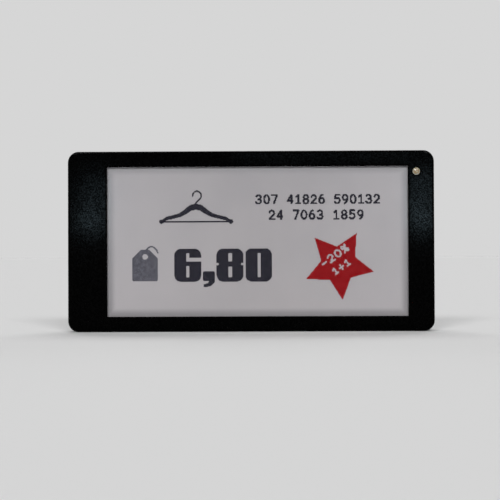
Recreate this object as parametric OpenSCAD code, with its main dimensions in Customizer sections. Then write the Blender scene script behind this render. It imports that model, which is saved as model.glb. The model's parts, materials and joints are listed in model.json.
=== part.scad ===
// Electronic shelf label: a thin moulded case that holds an electronic ink display, a circuit
// board and two coin cells behind a sliding door.
// X runs to the right as seen from the front, Y runs from the front to the back and Z runs up.
// The label stands on its bottom edge, with the origin in the middle of that edge.

/* [Case] */
// Width of the label
width = 101; // [98:0.5:120]
// Height of the label
height = 49.8; // [48:0.2:60]
// Corner radius seen from the front
corner_r = 3; // [2:0.1:5]
// Thickness of the skirt of both case halves
wall = 1.5; // [1.2:0.1:1.7]
// Rounding of the front edge
front_round = 0.6; // [0.3:0.05:1]
// Rounding of the back edge
back_round = 0.8; // [0.3:0.05:1.2]
// Width and depth of the groove at the parting line
reveal = 0.3; // [0.2:0.05:0.4]
// Width of the relief in the bottom edge, at its mouth
relief_w = 31; // [20:1:40]
// Length of the ramp at each end of the relief
relief_ramp = 1.1; // [0.5:0.1:2]
// Depth of the relief
relief_d = 0.25; // [0.1:0.05:0.4]

/* [Bezel] */
// Bezel to the left of the window
bezel_left = 10.85; // [10:0.05:14]
// Bezel to the right of the window
bezel_right = 7.2; // [7:0.05:10]
// Bezel above the window
bezel_top = 4.3; // [4:0.05:8]
// Bezel below the window
bezel_bottom = 4.2; // [4:0.05:8]
// Bevel along the front edge of the window opening
window_bevel = 0.4; // [0.2:0.05:0.5]
// Thickness of the lip in front of the window
lip_t = 0.7; // [0.6:0.05:1]
// Distance of the light from the right edge
light_right = 4.9; // [4.6:0.05:5.4]
// Distance of the light from the top edge
light_top = 5.8; // [5:0.1:10]
// Diameter of the light's lens
lens_d = 2; // [1.6:0.1:2.4]
// Bevel round the light's hole
light_bevel = 0.35; // [0.2:0.05:0.4]

/* [Window] */
// Thickness of the tape that holds the window
tape_t = 0.1; // [0.05:0.05:0.2]
// Thickness of the window's flange
window_flange_t = 0.45; // [0.4:0.05:0.6]
// How far the flange reaches past the opening
window_flange_w = 0.8; // [0.6:0.05:0.9]
// How far the window lies behind the front face
window_set_back = 0.45; // [0.3:0.05:0.6]
// Bevel along the edge of the window
window_edge = 0.25; // [0.1:0.05:0.3]
// Width of the tape
tape_w = 0.6; // [0.4:0.05:0.6]

/* [Display] */
// Air between the window and the ink film
air_t = 0.03; // [0.02:0.01:0.1]
// Thickness of the ink film
film_t = 0.32; // [0.22:0.05:0.47]
// How far the ink film reaches past the opening
film_margin = 0.6; // [0.3:0.05:0.6]
// Thickness of the display glass
glass_t = 0.5; // [0.4:0.05:0.7]
// How far the glass reaches above and below the opening
glass_margin = 1.05; // [0.8:0.05:1.2]
// Space left of the glass for the fold of the flex
fold_room = 2.2; // [2:0.05:2.6]
// Length of the driver chip
driver_l = 22; // [18:0.5:28]
// Width of the driver chip
driver_w = 1.3; // [1:0.1:1.6]
// Thickness of the driver chip
driver_t = 0.25; // [0.2:0.05:0.25]
// Thickness of the foam behind the glass
foam_t = 0.3; // [0.2:0.05:0.5]
// Width of the foam's strips
foam_w = 5; // [3:0.5:8]

/* [Display tray] */
// Thickness of the tray
tray_t = 0.9; // [0.8:0.05:1.1]
// Running gap between the tray and the skirt
tray_gap = 0.2; // [0.1:0.05:0.3]
// Thickness of the tray's rim
tray_rim_t = 0.8; // [0.6:0.05:0.9]
// How far the rim reaches past the back of the glass
tray_rim_h = 0.3; // [0.2:0.05:0.35]
// Width of the windows between the tray's bars
tray_window_w = 12; // [8:0.5:13]
// Height of the windows between the tray's bars
tray_window_h = 10; // [6:0.5:12]
// Width of the bars between the tray's windows
tray_bar_w = 4; // [2.5:0.5:5]
// Height of the stand-offs under the board
standoff_h = 0.7; // [0.65:0.05:1]
// Diameter of the stand-offs
standoff_d = 3.6; // [3.2:0.1:4]

/* [Near field coil] */
// Distance of the coil's film from the tray's sides
coil_side = 18.8; // [16:0.2:26]
// Distance of the coil's film from the tray's top and bottom
coil_end = 6.2; // [5:0.2:10]
// Thickness of the coil's film
coil_film_t = 0.1; // [0.05:0.05:0.15]
// Turns of the coil
coil_turns = 5; // [3:1:7]
// Width of the coil's track
track_w = 0.5; // [0.3:0.05:0.6]
// Gap between the coil's tracks
track_gap = 0.5; // [0.3:0.05:0.6]
// Thickness of the coil's track
coil_t = 0.05; // [0.03:0.01:0.1]

/* [Circuit board] */
// Thickness of the board
board_t = 0.8; // [0.8:0.05:1]
// Distance of the board from the skirt
board_inset = 1.5; // [1.3:0.05:1.8]
// Corner radius of the board
board_r = 1; // [0.5:0.1:2]
// Depth of the notch in the board for the flex
board_notch = 1.2; // [1:0.05:1.5]
// Distance of the screws from the board's sides
screw_side = 5.5; // [5.2:0.1:6]
// Distance of the screws from the board's top and bottom
screw_end = 3.2; // [3:0.1:4]
// Diameter of the screws' shanks
screw_d = 1.4; // [1.2:0.1:1.6]
// Length of the screws' shanks
screw_l = 1.9; // [1.7:0.1:2.1]
// Diameter of the screws' heads
screw_head_d = 2.8; // [2.4:0.1:3]
// Height of the screws' heads
screw_head_h = 0.9; // [0.7:0.1:1.1]
// Width of the cross recess in the screws' heads
screw_slot_w = 0.35; // [0.3:0.05:0.45]
// Depth of the cross recess in the screws' heads
screw_slot_d = 0.4; // [0.3:0.05:0.5]

/* [Flex and its connector] */
// Thickness of the flex
flex_t = 0.12; // [0.08:0.01:0.15]
// Width of the flex where it is bonded to the glass
flex_head_w = 30; // [26:0.5:32]
// Width of the flex at the connector
flex_w = 13; // [12.6:0.1:14]
// Length of the flex's bond on the glass
flex_bond = 1.9; // [1.5:0.1:2.2]
// Radius of the flex's folds
flex_fold_r = 0.9; // [0.8:0.05:1]
// How far the flex enters the connector
flex_reach = 2.2; // [1.8:0.1:2.4]
// Thickness of the stiffener on the flex's end
stiffener_t = 0.2; // [0.1:0.05:0.25]
// Pitch of the connector's contacts
contact_pitch = 0.5; // [0.5:0.1:0.5]
// Width of each contact
contact_w = 0.2; // [0.15:0.05:0.3]
// Thickness of each contact
contact_t = 0.15; // [0.1:0.05:0.2]
// Length of each contact's foot outside the connector
contact_foot = 0.6; // [0.4:0.1:0.8]
// Depth of the connector's housing along the flex
connector_d = 4.2; // [4:0.1:5]
// Height of the connector's housing
connector_h = 1.5; // [1.4:0.05:1.7]
// Thickness of the connector's end walls
connector_end = 1.1; // [0.9:0.1:1.4]
// Distance of the connector from the board's notch
connector_from_notch = 2.9; // [2.6:0.1:3.4]
// Width of the latch flap along the flex
latch_l = 1.9; // [1.6:0.1:2]
// Thickness of the latch flap
latch_t = 0.6; // [0.5:0.05:0.7]

/* [Coin cells] */
// Diameter of a cell
cell_d = 24.5; // [23:0.5:25]
// Thickness of a cell
cell_t = 5; // [4:0.1:5.4]
// Thickness of the cell's sheet metal
cell_sheet = 0.3; // [0.2:0.05:0.4]
// Width of the can's rim round the minus cap
cell_rim_w = 1.95; // [1.8:0.05:3]
// How far the minus cap stands out of the can
cell_cap_h = 0.25; // [0.2:0.05:0.35]
// Width of the sealing ring
cell_seal_w = 0.5; // [0.3:0.1:0.7]
// Rounding of the can's edge
cell_round = 0.5; // [0.3:0.1:0.8]
// Gap round the cell in its well
well_gap = 0.3; // [0.25:0.05:0.5]
// Thickness of the well's wall
well_wall = 1; // [0.8:0.1:1.4]

/* [Battery contacts] */
// Space for the contact between the board and the cell
contact_h = 0.4; // [0.35:0.05:0.6]
// Thickness of the contacts' sheet
strip_t = 0.2; // [0.15:0.05:0.25]
// Width of the minus contact
minus_w = 7; // [5:0.5:9]
// Height of the minus contact
minus_h = 5; // [4:0.5:7]
// Length of the minus contact's arms
minus_arm = 4; // [3:0.5:5]
// Width of the plus contact
plus_w = 5; // [4:0.5:6]
// Length of the plus contact's foot
plus_foot = 2.4; // [2:0.1:2.8]
// Gap between the plus contact and the can
touch_gap = 0.03; // [0.02:0.01:0.05]

/* [Battery door] */
// Width of the door
door_w = 56; // [55:0.5:58]
// Height of the door's bottom edge above the label's
door_z = 11; // [10.6:0.1:11.4]
// Thickness of the door and of the back wall
door_t = 1.4; // [1.3:0.05:1.8]
// Width of the door's side rails
rail_w = 1.2; // [1:0.1:1.5]
// Thickness of the door's side rails
rail_t = 0.7; // [0.6:0.05:0.8]
// Running gap round the door
slide_gap = 0.15; // [0.12:0.01:0.2]
// Chamfer along the door's edges and the mouth of its bay
door_chamfer = 0.2; // [0.1:0.05:0.3]
// Width of the walls beside the rails
rail_wall = 1.5; // [1.2:0.1:1.8]
// Thickness of the bay's floor
bay_floor_t = 0.85; // [0.7:0.05:1]
// Width of each tongue on the door's bottom edge
tongue_w = 8; // [6:0.5:12]
// Distance between the tongues
tongue_pitch = 36; // [30:1:40]
// Length of the tongues
tongue_l = 1.1; // [0.8:0.1:1.2]
// Thickness of the foam pad on the door
pad_t = 0.6; // [0.5:0.05:1]
// Gap between the foam pad and the cells
pad_gap = 0.1; // [0.05:0.05:0.2]
// Width of the foam pad
pad_w = 40; // [30:1:46]
// Height of the foam pad
pad_h = 10; // [6:0.5:14]
// Thickness of the door's top lip
door_lip_t = 1.2; // [0.9:0.1:1.3]
// Width of the thumb recess
thumb_w = 18; // [12:0.5:24]
// Height of the thumb recess
thumb_h = 7; // [5:0.5:8]
// Depth of the thumb recess
thumb_d = 0.5; // [0.3:0.05:0.6]
// Number of ribs in the thumb recess
thumb_ribs = 4; // [3:1:5]
// Width of each thumb rib
thumb_rib_w = 0.6; // [0.4:0.1:0.8]
// Radius of the detent bumps
detent_r = 0.8; // [0.6:0.1:1]
// Height of the detent bumps
detent_h = 0.1; // [0.05:0.01:0.1]
// Radius of the pocket that a fingernail enters to lift a cell
lever_r = 3; // [2:0.1:4]
// Depth of the lifting pocket
lever_d = 2.2; // [1.5:0.1:3]
// Height of the ribs inside the door
door_rib_h = 0.55; // [0.3:0.05:0.6]
// Thickness of the ribs inside the door
door_rib_t = 0.8; // [0.6:0.1:1]
// Distance of the ribs from the foam pad
door_rib_gap = 1.5; // [1:0.1:2.5]

/* [Accessory channels] */
// Width of the channel's throat
throat_w = 6; // [5:0.5:7]
// Undercut on each side of the throat
undercut = 1.2; // [0.8:0.1:1.4]
// Depth of the channel
channel_d = 1.8; // [1.5:0.1:2]
// Thickness of the channel's lips
channel_lip = 0.6; // [0.5:0.05:0.8]
// Thickness of the channel's inner walls
channel_wall = 1; // [0.8:0.1:1.2]
// Length of the channel
channel_l = 34; // [24:1:40]
// Chamfer along the channel's throat
channel_chamfer = 0.25; // [0.1:0.05:0.3]

/* [Button] */
// Distance of the button from the middle
button_x = 18; // [12:1:22]
// Height of the button above the bottom edge
button_z = 5.6; // [5.2:0.1:5.8]
// Diameter of the button
button_d = 3.9; // [3:0.1:4]
// Chamfer round the button's hole
button_chamfer = 0.25; // [0.1:0.05:0.4]
// Gap round the button
button_gap = 0.1; // [0.08:0.01:0.15]
// How far the button lies behind the back face
button_sunk = 0.25; // [0.1:0.05:0.4]
// Travel of the button
button_travel = 0.3; // [0.2:0.05:0.35]
// Width of the button's flange
button_flange_w = 0.5; // [0.3:0.05:0.6]
// Thickness of the button's flange
button_flange_t = 0.6; // [0.5:0.05:0.8]
// Thickness of the sleeve round the button's flange
sleeve_t = 0.7; // [0.6:0.05:0.8]
// Diameter of the button's stem
stem_d = 2.4; // [2:0.1:2.6]
// Width of the switch
switch_w = 4; // [3.6:0.1:4.2]
// Height of the switch's base
switch_h = 1.4; // [1.2:0.1:1.6]
// Thickness of the switch's cover
switch_cover_t = 0.15; // [0.1:0.05:0.2]
// Diameter of the switch's plunger
plunger_d = 1.6; // [1.4:0.1:1.8]
// How far the plunger stands out of the cover
plunger_h = 0.55; // [0.5:0.05:0.7]
// Width of the plunger's flange
plunger_flange_w = 0.25; // [0.2:0.05:0.3]
// Thickness of the plunger's flange
plunger_flange_t = 0.4; // [0.3:0.05:0.4]

/* [Snap hooks] */
// Width of each hook
hook_w = 4; // [3:0.5:5]
// Thickness of each hook
hook_t = 0.8; // [0.6:0.05:0.9]
// Gap between the hooks and the skirt
hook_gap = 0.15; // [0.1:0.05:0.2]
// How far the hooks reach into the front frame
hook_reach = 1.25; // [1.2:0.05:1.5]
// How far the hooks' barbs stand out of the skirt's face
barb = 0.4; // [0.3:0.05:0.5]
// Gap between the barbs and their pockets
barb_gap = 0.1; // [0.05:0.05:0.15]
// Length of the hooks' roots on the back case
hook_root = 3; // [2:0.5:4]

/* [Ribs and posts] */
// Diameter of the posts that press on the board
post_d = 3; // [2.4:0.1:3.4]
// Bore of the posts
post_bore = 1.4; // [1:0.1:1.6]
// Thickness of the ribs on the back wall
rib_t = 0.8; // [0.6:0.1:1.2]
// Height of the ribs on the back wall
rib_h = 1; // [0.6:0.1:1.2]

/* [Parts on the board] */
// Width of the radio chip
radio_w = 6; // [5:0.5:7]
// Height of the radio chip above the board
radio_h = 0.9; // [0.7:0.1:1.2]
// Length of the memory chip's body
memory_l = 4.9; // [4:0.1:5.2]
// Width of the memory chip's body
memory_w = 3.9; // [3:0.1:4]
// Height of the memory chip above the board
memory_h = 1.4; // [1.2:0.1:1.6]
// Length of each lead of the memory chip
memory_lead = 1; // [0.8:0.1:1.2]
// Pitch of the memory chip's leads
memory_pitch = 1.27; // [1:0.01:1.27]
// Length of the radio crystal
radio_crystal_l = 3.2; // [2.5:0.1:3.4]
// Width of the radio crystal
radio_crystal_w = 2.5; // [2:0.1:2.6]
// Height of the radio crystal
radio_crystal_h = 0.8; // [0.6:0.1:1]
// Length of the clock crystal
clock_crystal_l = 3.2; // [2.5:0.1:3.4]
// Width of the clock crystal
clock_crystal_w = 1.5; // [1.2:0.1:1.6]
// Height of the clock crystal
clock_crystal_h = 0.9; // [0.6:0.1:1]
// Width of the inductor
inductor_w = 4; // [3:0.1:4.2]
// Height of the inductor
inductor_h = 1.8; // [1.4:0.1:2.2]
// Diameter of the inductor's winding
inductor_core_d = 3.2; // [2.4:0.1:3.2]
// Length of a capacitor
capacitor_l = 1.6; // [1.4:0.1:1.8]
// Width of a capacitor
capacitor_w = 0.8; // [0.7:0.05:0.9]
// Length of a resistor
resistor_l = 1.6; // [1.4:0.1:1.8]
// Width of a resistor
resistor_w = 0.8; // [0.7:0.05:0.9]
// Height of a resistor
resistor_h = 0.45; // [0.35:0.05:0.55]
// Length of a tantalum capacitor
tantalum_l = 3.5; // [3:0.1:3.6]
// Width of a tantalum capacitor
tantalum_w = 2.8; // [2.4:0.1:2.8]
// Height of a tantalum capacitor
tantalum_h = 1.9; // [1.6:0.1:2.1]
// Length of a diode or transistor body
diode_l = 2.7; // [2.2:0.1:2.9]
// Width of a diode or transistor body
diode_w = 1.6; // [1.3:0.1:1.7]
// Height of a diode or transistor body
diode_h = 1.1; // [0.9:0.1:1.2]
// Length of the status light
led_l = 1.6; // [1.2:0.1:1.8]
// Width of the status light
led_w = 0.8; // [0.6:0.1:1]
// Height of the status light
led_h = 0.5; // [0.4:0.05:0.6]
// Width of the aerial
aerial_w = 3; // [2.6:0.1:3.2]
// Length of the aerial
aerial_l = 22; // [18:0.5:26]
// Height of the aerial above the board
aerial_h = 2.4; // [1.8:0.1:3]
// Thickness of the aerial's sheet
aerial_t = 0.3; // [0.2:0.05:0.35]
// Width of the aerial's slots
aerial_slot = 0.8; // [0.6:0.05:0.9]
// Number of the aerial's slots
aerial_slots = 6; // [4:2:8]
// Distance of the aerial from the board's edge
aerial_edge = 0.9; // [0.6:0.1:1.2]

/* [Hidden] */

// Smoothness of the round outlines
$fn = 48;
// Overrun of every cut past the face it opens
over = 0.1;
// Small play between pieces that are laid or glued in place
play = 0.1;
// Play of the window inside its opening
window_play = 0.06;
// Depth of the rebate behind the window's flange
rebate_spare = 0.05;
// Play of a screw or a lens in its hole
bore_play = 0.02;

// Depths behind the front face, from the front to the back
tape_back = lip_t + tape_t;
window_back = tape_back + window_flange_t;
front_wall = window_back + rebate_spare;
film_front = window_back + air_t;
film_back = film_front + film_t;
glass_back = film_back + glass_t;
foam_back = glass_back + foam_t;
tray_back = foam_back + tray_t;
board_front = tray_back + standoff_h;
board_back = board_front + board_t;
cell_front = board_back + contact_h;
cell_back = cell_front + cell_t;
pad_front = cell_back + pad_gap;
door_front = pad_front + pad_t;
depth = door_front + door_t;
hook_front = tray_back + play;
frame_depth = hook_front + hook_reach;
bay_floor_back = pad_front - slide_gap;
bay_floor_front = bay_floor_back - bay_floor_t;
ledge_back = door_front - slide_gap;
rail_back = door_front + rail_t;
groove_back = rail_back + slide_gap;

// Window opening
window_w = width - bezel_left - bezel_right;
window_h = height - bezel_top - bezel_bottom;
window_x = (bezel_left - bezel_right) / 2;
window_z = bezel_bottom + window_h / 2;

// Light; the share gives the flange's radius from the lens's diameter
pipe_flange_share = 0.65;
light_x = width / 2 - light_right;
light_z = height - light_top;
pipe_flange_r = pipe_flange_share * lens_d;

// Display glass, between the fold of the flex and the light pipe
glass_left = -width / 2 + wall + fold_room;
glass_right = light_x - pipe_flange_r - play;
glass_low = bezel_bottom - glass_margin;
glass_high = height - bezel_top + glass_margin;
film_left = window_x - window_w / 2 - film_margin;

// Tray and coil
tray_w = width - 2 * (wall + tray_gap);
tray_h = height - 2 * (wall + tray_gap);
rim_front = glass_back - tray_rim_h;
coil_film_w = tray_w - 2 * coil_side;
coil_film_h = tray_h - 2 * coil_end;

// Board
board_w = width - 2 * (wall + board_inset);
board_h = height - 2 * (wall + board_inset);
board_left = -board_w / 2;
notch_x = board_left + board_notch;
screw_x = board_w / 2 - screw_side;
screw_front = board_back - screw_l;
screw_z = [wall + board_inset + screw_end, height - wall - board_inset - screw_end];

// Flex and connector; the flex enters low in the housing
flex_plane_share = 0.35;
stiffener_share = 1.5;
trunnion_share = 0.3;
flex_run_x = glass_left - play - flex_fold_r;
flex_plane = board_back + connector_h * flex_plane_share;
connector_x = notch_x + connector_from_notch;
contact_n = floor(flex_w / contact_pitch) - 2;
contact_span = (contact_n - 1) * contact_pitch;
slot_w = flex_w + 2 * play;
connector_l = slot_w + 2 * connector_end;
trunnion_r = trunnion_share * latch_t;
latch_pivot_x = connector_x + connector_d - latch_t;
latch_pivot_f = board_back + connector_h - latch_t / 2;

// Cells and their wells
cell_cap_d = cell_d - 2 * cell_rim_w;
well_r = cell_d / 2 + well_gap;
well_outer_r = well_r + well_wall;
cell_x = well_r + well_wall / 2;
cell_z = height / 2;

// Door and its bay
groove_x = door_w / 2 + rail_w + slide_gap;
bay_block_x = groove_x + rail_wall;
bay_low = door_z - slide_gap;
tongue_low = bay_low - tongue_l;
bay_block_low = tongue_low - rail_wall / 2;
pad_channel_x = door_w / 2 - rail_w;
thumb_z = (cell_z + well_r + height - wall) / 2;
lever_z = cell_z + well_r;
detent_x = (pad_channel_x + door_w / 2) / 2;
detent_z = height - wall - 2 * detent_r;

// Accessory channels, midway between the door's bay and the skirt
channel_x = (bay_block_x + width / 2 - wall) / 2;
channel_w = throat_w + 2 * undercut;

// Button and switch
switch_top = board_back + switch_h + switch_cover_t;
plunger_top = switch_top + plunger_h;
button_bore_r = button_d / 2 + button_gap;
button_flange_r = button_d / 2 + button_flange_w;
sleeve_bore_r = button_flange_r + button_gap;
plunger_flange_r = plunger_d / 2 + plunger_flange_w;

// Parts beside the wells, as shares of the strip between the wells and what stands along the
// board's edge, then as shares of the board's height
strip_x = cell_x + well_outer_r;
aerial_x = board_w / 2 - aerial_edge - aerial_w / 2;
left_strip_w = -strip_x - (connector_x + connector_d + contact_foot);
right_strip_w = aerial_x - aerial_w / 2 - strip_x;
side_strip_w = board_w / 2 - strip_x;
capacitor_row_shares = [0.36, 0.42, 0.48, 0.54, 0.60, 0.66];
capacitor_column_shares = [0.28, 0.72];
right_capacitor_shares = [
  [0.15, 0.38], [0.38, 0.38], [0.62, 0.38], [0.85, 0.38],
  [0.15, 0.71], [0.38, 0.71], [0.62, 0.71], [0.85, 0.71]
];
left_resistor_shares = [[0.15, 0.31], [0.30, 0.31], [0.15, 0.71], [0.30, 0.71]];
right_resistor_shares = [[0.20, 0.78], [0.50, 0.78], [0.80, 0.78], [0.30, 0.85], [0.70, 0.85]];
tantalum_shares = [[0.22, 0.79], [0.22, 0.16]];
diode_shares = [[0.25, 0.24], [0.62, 0.24], [0.62, 0.16], [0.30, 0.87]];
inductor_share = [0.63, 0.79];
radio_share = [0.5, 0.50];
memory_share = [0.5, 0.18];
radio_crystal_share = [0.5, 0.63];
clock_crystal_share = [0.5, 0.30];
// Places of the hooks as shares of the width and of the height
hook_width_shares = [-0.4, 0, 0.4];
hook_height_shares = [0.2, 0.8];
// Places of the posts as a share of the strip beside the wells and of the ribs as shares of
// the height
post_share = 0.3;
rib_height_shares = [0.3, 0.7];
// Front and back of a barb and length of its pocket as shares of the hook's reach
barb_front_share = 0.25;
barb_back_share = 0.62;
pocket_share = 0.7;
// Thickness, width and knee of the memory chip's leads as shares of its height, of the leads'
// pitch and of the leads' length
lead_t_share = 0.14;
lead_w_share = 0.33;
lead_knee_share = 0.5;
// Thickness of the inductor's flanges as a share of its height
inductor_flange_share = 0.22;
// Height of the minus contact's arms, the start of their tips' heel and the start of the tips
// as shares of the contact's height and of the arms' length
minus_arm_share = 0.4;
minus_heel_share = 0.8;
minus_tip_share = 0.9;
// Rounding of the cell's cap as a share of its height
cap_round_share = 0.6;
// Length of the cross recess as a share of the screw's head
screw_slot_share = 0.67;
// Radius of the key's dish, of the thumb recess's corners and the fall of its ribs as shares of
// the key's diameter, of the recess's height and of its depth
dish_share = 1.04;
thumb_corner_share = 0.49;
thumb_rib_share = 0.8;

// Y of a plane that lies the depth f behind the front face
function y_at(f) = f - depth / 2;
// Middle of a part in a strip beside the wells; side is -1 for left and 1 for right
function strip_place(side, strip_w, share) =
  [side * (strip_x + share.x * strip_w), wall + board_inset + share.y * board_h];

// Plate of a front outline, from the depth f on and t thick
module plate(f, t) {
  translate([0, y_at(f) + t, 0])
    rotate([90, 0, 0])
      linear_extrude(t)
        children();
}

// Round post along the depth, from f0 to f1
module post(x, z, f0, f1, r) {
  translate([x, y_at(f0), z])
    rotate([-90, 0, 0])
      cylinder(h = f1 - f0, r = r);
}

// Solid turned about an axis along the depth; the outline is given as radius and depth
module turned(x, z) {
  translate([x, y_at(0), z])
    rotate([-90, 0, 0])
      rotate_extrude()
        children();
}

// Box with its middle at x and z, from the depth f0 to f1
module block(x, z, w, h, f0, f1) {
  translate([x - w / 2, y_at(f0), z - h / 2])
    cube([w, f1 - f0, h]);
}

module round_rect(w, h, r) {
  square([w - 2 * r, h], center = true);
  square([w, h - 2 * r], center = true);
  for (side_x = [-1, 1], side_z = [-1, 1])
    translate([side_x * (w / 2 - r), side_z * (h / 2 - r)])
      circle(r);
}

// Rectangular block whose four sides slope inwards from the depth f0 to f1
module sloped_block(x, z, w, h, f0, f1, slope) {
  intersection() {
    translate([x, y_at(f0), z - h / 2])
      linear_extrude(h)
        polygon([[-w / 2, 0], [w / 2, 0], [w / 2 - slope, f1 - f0], [slope - w / 2, f1 - f0]]);
    translate([x - w / 2, y_at(f0), z])
      rotate([0, 90, 0])
        linear_extrude(w)
          polygon([[-h / 2, 0], [h / 2, 0], [h / 2 - slope, f1 - f0], [slope - h / 2, f1 - f0]]);
  }
}

// Chamfer round a slot's mouth in the back face
module mouth_chamfer(x, z, w, h, c) {
  sloped_block(x, z, w + 2 * (c + over), h + 2 * (c + over), depth + over, depth - c, c + over);
}

// Carries a profile round the case's outline; its x is the distance from the middle of the
// corner's arc and its y is the depth
module around_case() {
  for (side = [0, 1])
    mirror([side, 0, 0]) {
      translate([width / 2 - corner_r, y_at(0), corner_r])
        linear_extrude(height - 2 * corner_r)
          children();
      translate([width / 2 - corner_r, y_at(0), height - corner_r])
        rotate([-90, -90, 0])
          rotate_extrude(angle = 90)
            children();
      translate([width / 2 - corner_r, y_at(0), corner_r])
        rotate([-90, 0, 0])
          rotate_extrude(angle = 90)
            children();
    }
  translate([width / 2 - corner_r, y_at(0), height - corner_r])
    rotate([0, -90, 0])
      linear_extrude(width - 2 * corner_r)
        children();
  translate([corner_r - width / 2, y_at(0), corner_r])
    rotate([0, 90, 0])
      linear_extrude(width - 2 * corner_r)
        children();
}

// Middle of a plate whose edge around_case makes
module case_middle(f, t) {
  translate([corner_r - width / 2, y_at(f), corner_r])
    cube([width - 2 * corner_r, t, height - 2 * corner_r]);
}

// Corner that a rounding takes off a profile at the front face
module rounding_cut(r) {
  difference() {
    translate([corner_r - r, -over])
      square([r + over, r + over]);
    translate([corner_r - r, r])
      circle(r);
  }
}

// Solid with the case's outer faces
module case_solid() {
  around_case()
    difference() {
      square([corner_r, depth]);
      rounding_cut(front_round);
      translate([0, depth])
        mirror([0, 1])
          rounding_cut(back_round);
    }
  case_middle(0, depth);
}

// Relief in the bottom edge, right through the depth
module bottom_relief() {
  plate(-over, depth + 2 * over)
    polygon([
      [-relief_w / 2, -over], [relief_w / 2, -over], [relief_w / 2, 0],
      [relief_w / 2 - relief_ramp, relief_d], [relief_ramp - relief_w / 2, relief_d],
      [-relief_w / 2, 0]
    ]);
}

// Carries a profile to every hook; its x runs outwards from the skirt's inner face
module at_hooks(w) {
  for (share = hook_width_shares) {
    translate([share * width + w / 2, y_at(0), height - wall])
      rotate([0, -90, 0])
        linear_extrude(w)
          children();
    translate([share * width - w / 2, y_at(0), wall])
      rotate([0, 90, 0])
        linear_extrude(w)
          children();
  }
  for (share = hook_height_shares, side = [0, 1])
    mirror([side, 0, 0])
      translate([width / 2 - wall, y_at(0), share * height - w / 2])
        linear_extrude(w)
          children();
}

module front_frame() {
  color("#1b1d1f")
    difference() {
      union() {
        around_case()
          difference() {
            union() {
              square([corner_r, front_wall]);
              translate([corner_r - wall, 0])
                square([wall, frame_depth]);
            }
            rounding_cut(front_round);
          }
        case_middle(0, front_wall);
      }
      block(window_x, window_z, window_w, window_h, -over, front_wall + over);
      sloped_block(
        window_x, window_z, window_w + 2 * (window_bevel + over), window_h + 2 * (window_bevel + over),
        -over, window_bevel, window_bevel + over
      );
      block(
        window_x, window_z, window_w + 2 * (window_flange_w + play),
        window_h + 2 * (window_flange_w + play), lip_t, front_wall + over
      );
      post(light_x, light_z, -over, front_wall + over, lens_d / 2 + bore_play);
      translate([light_x, y_at(-over), light_z])
        rotate([-90, 0, 0])
          cylinder(h = light_bevel + over, r1 = lens_d / 2 + light_bevel + over, r2 = lens_d / 2);
      at_hooks(hook_w + 2 * barb_gap)
        translate([-over, hook_front])
          square([barb + barb_gap + over, hook_reach * pocket_share]);
      bottom_relief();
    }
}

module display_window() {
  color("#c8d4d8", 0.35) {
    block(
      window_x, window_z, window_w + 2 * window_flange_w, window_h + 2 * window_flange_w,
      tape_back, window_back
    );
    block(
      window_x, window_z, window_w - 2 * window_play, window_h - 2 * window_play,
      window_set_back + window_edge, tape_back
    );
    sloped_block(
      window_x, window_z, window_w - 2 * window_play, window_h - 2 * window_play,
      window_set_back + window_edge, window_set_back, window_edge
    );
  }
}

module window_tape() {
  color("#303236")
    difference() {
      block(
        window_x, window_z, window_w + 2 * window_flange_w, window_h + 2 * window_flange_w,
        lip_t, tape_back
      );
      block(
        window_x, window_z, window_w + 2 * (window_flange_w - tape_w),
        window_h + 2 * (window_flange_w - tape_w), lip_t - over, tape_back + over
      );
    }
}

// Stepped lens with a domed front, reaching back to the status light
module light_pipe() {
  color("#e6dcc4")
    difference() {
      union() {
        post(light_x, light_z, light_bevel / 2, board_front - led_h - play, lens_d / 2);
        post(light_x, light_z, front_wall, foam_back, pipe_flange_r);
      }
      turned(light_x, light_z)
        difference() {
          square([lens_d, light_bevel]);
          translate([0, light_bevel / 2 + lens_d])
            circle(lens_d, $fn = 96);
        }
    }
}

module ink_film() {
  color("#b9b5b8")
    block(
      window_x, window_z, window_w + 2 * film_margin, window_h + 2 * film_margin,
      film_front, film_back
    );
}

module display_glass() {
  color("#8fa6a0", 0.6)
    translate([glass_left, y_at(film_back), glass_low])
      cube([glass_right - glass_left, glass_t, glass_high - glass_low]);
}

module driver_chip() {
  color("#2b2b30")
    block(
      (film_left + glass_left + flex_bond) / 2, window_z, driver_w, driver_l,
      film_back - driver_t, film_back
    );
}

// Flex in section: bonded to the glass, folded twice round the board's edge and on to the
// connector; the outline is given as x and depth
module flex_section() {
  front_plane = film_back - flex_t;
  end_x = connector_x + flex_reach;
  translate([glass_left - play, front_plane])
    square([play, flex_t]);
  translate([flex_run_x - flex_t / 2, front_plane + flex_t / 2 + flex_fold_r])
    square([flex_t, flex_plane - front_plane - flex_t / 2 - 2 * flex_fold_r]);
  translate([flex_run_x + flex_fold_r, flex_plane - flex_t / 2])
    square([end_x - flex_run_x - flex_fold_r, flex_t]);
  translate([flex_run_x + flex_fold_r, front_plane + flex_t / 2 + flex_fold_r])
    intersection() {
      difference() {
        circle(flex_fold_r + flex_t / 2);
        circle(flex_fold_r - flex_t / 2);
      }
      translate([-2 * flex_fold_r, -2 * flex_fold_r])
        square(2 * flex_fold_r);
    }
  translate([flex_run_x + flex_fold_r, flex_plane - flex_fold_r])
    intersection() {
      difference() {
        circle(flex_fold_r + flex_t / 2);
        circle(flex_fold_r - flex_t / 2);
      }
      translate([-2 * flex_fold_r, 0])
        square(2 * flex_fold_r);
    }
}

module display_flex() {
  color("#c98b2b") {
    translate([0, y_at(0), window_z - flex_w / 2])
      linear_extrude(flex_w)
        flex_section();
    plate(film_back - flex_t, flex_t)
      translate([0, window_z])
        polygon([
          [glass_left, -flex_w / 2], [glass_left, flex_w / 2],
          [glass_left + flex_bond / 2, flex_head_w / 2], [glass_left + flex_bond, flex_head_w / 2],
          [glass_left + flex_bond, -flex_head_w / 2], [glass_left + flex_bond / 2, -flex_head_w / 2]
        ]);
  }
}

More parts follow.
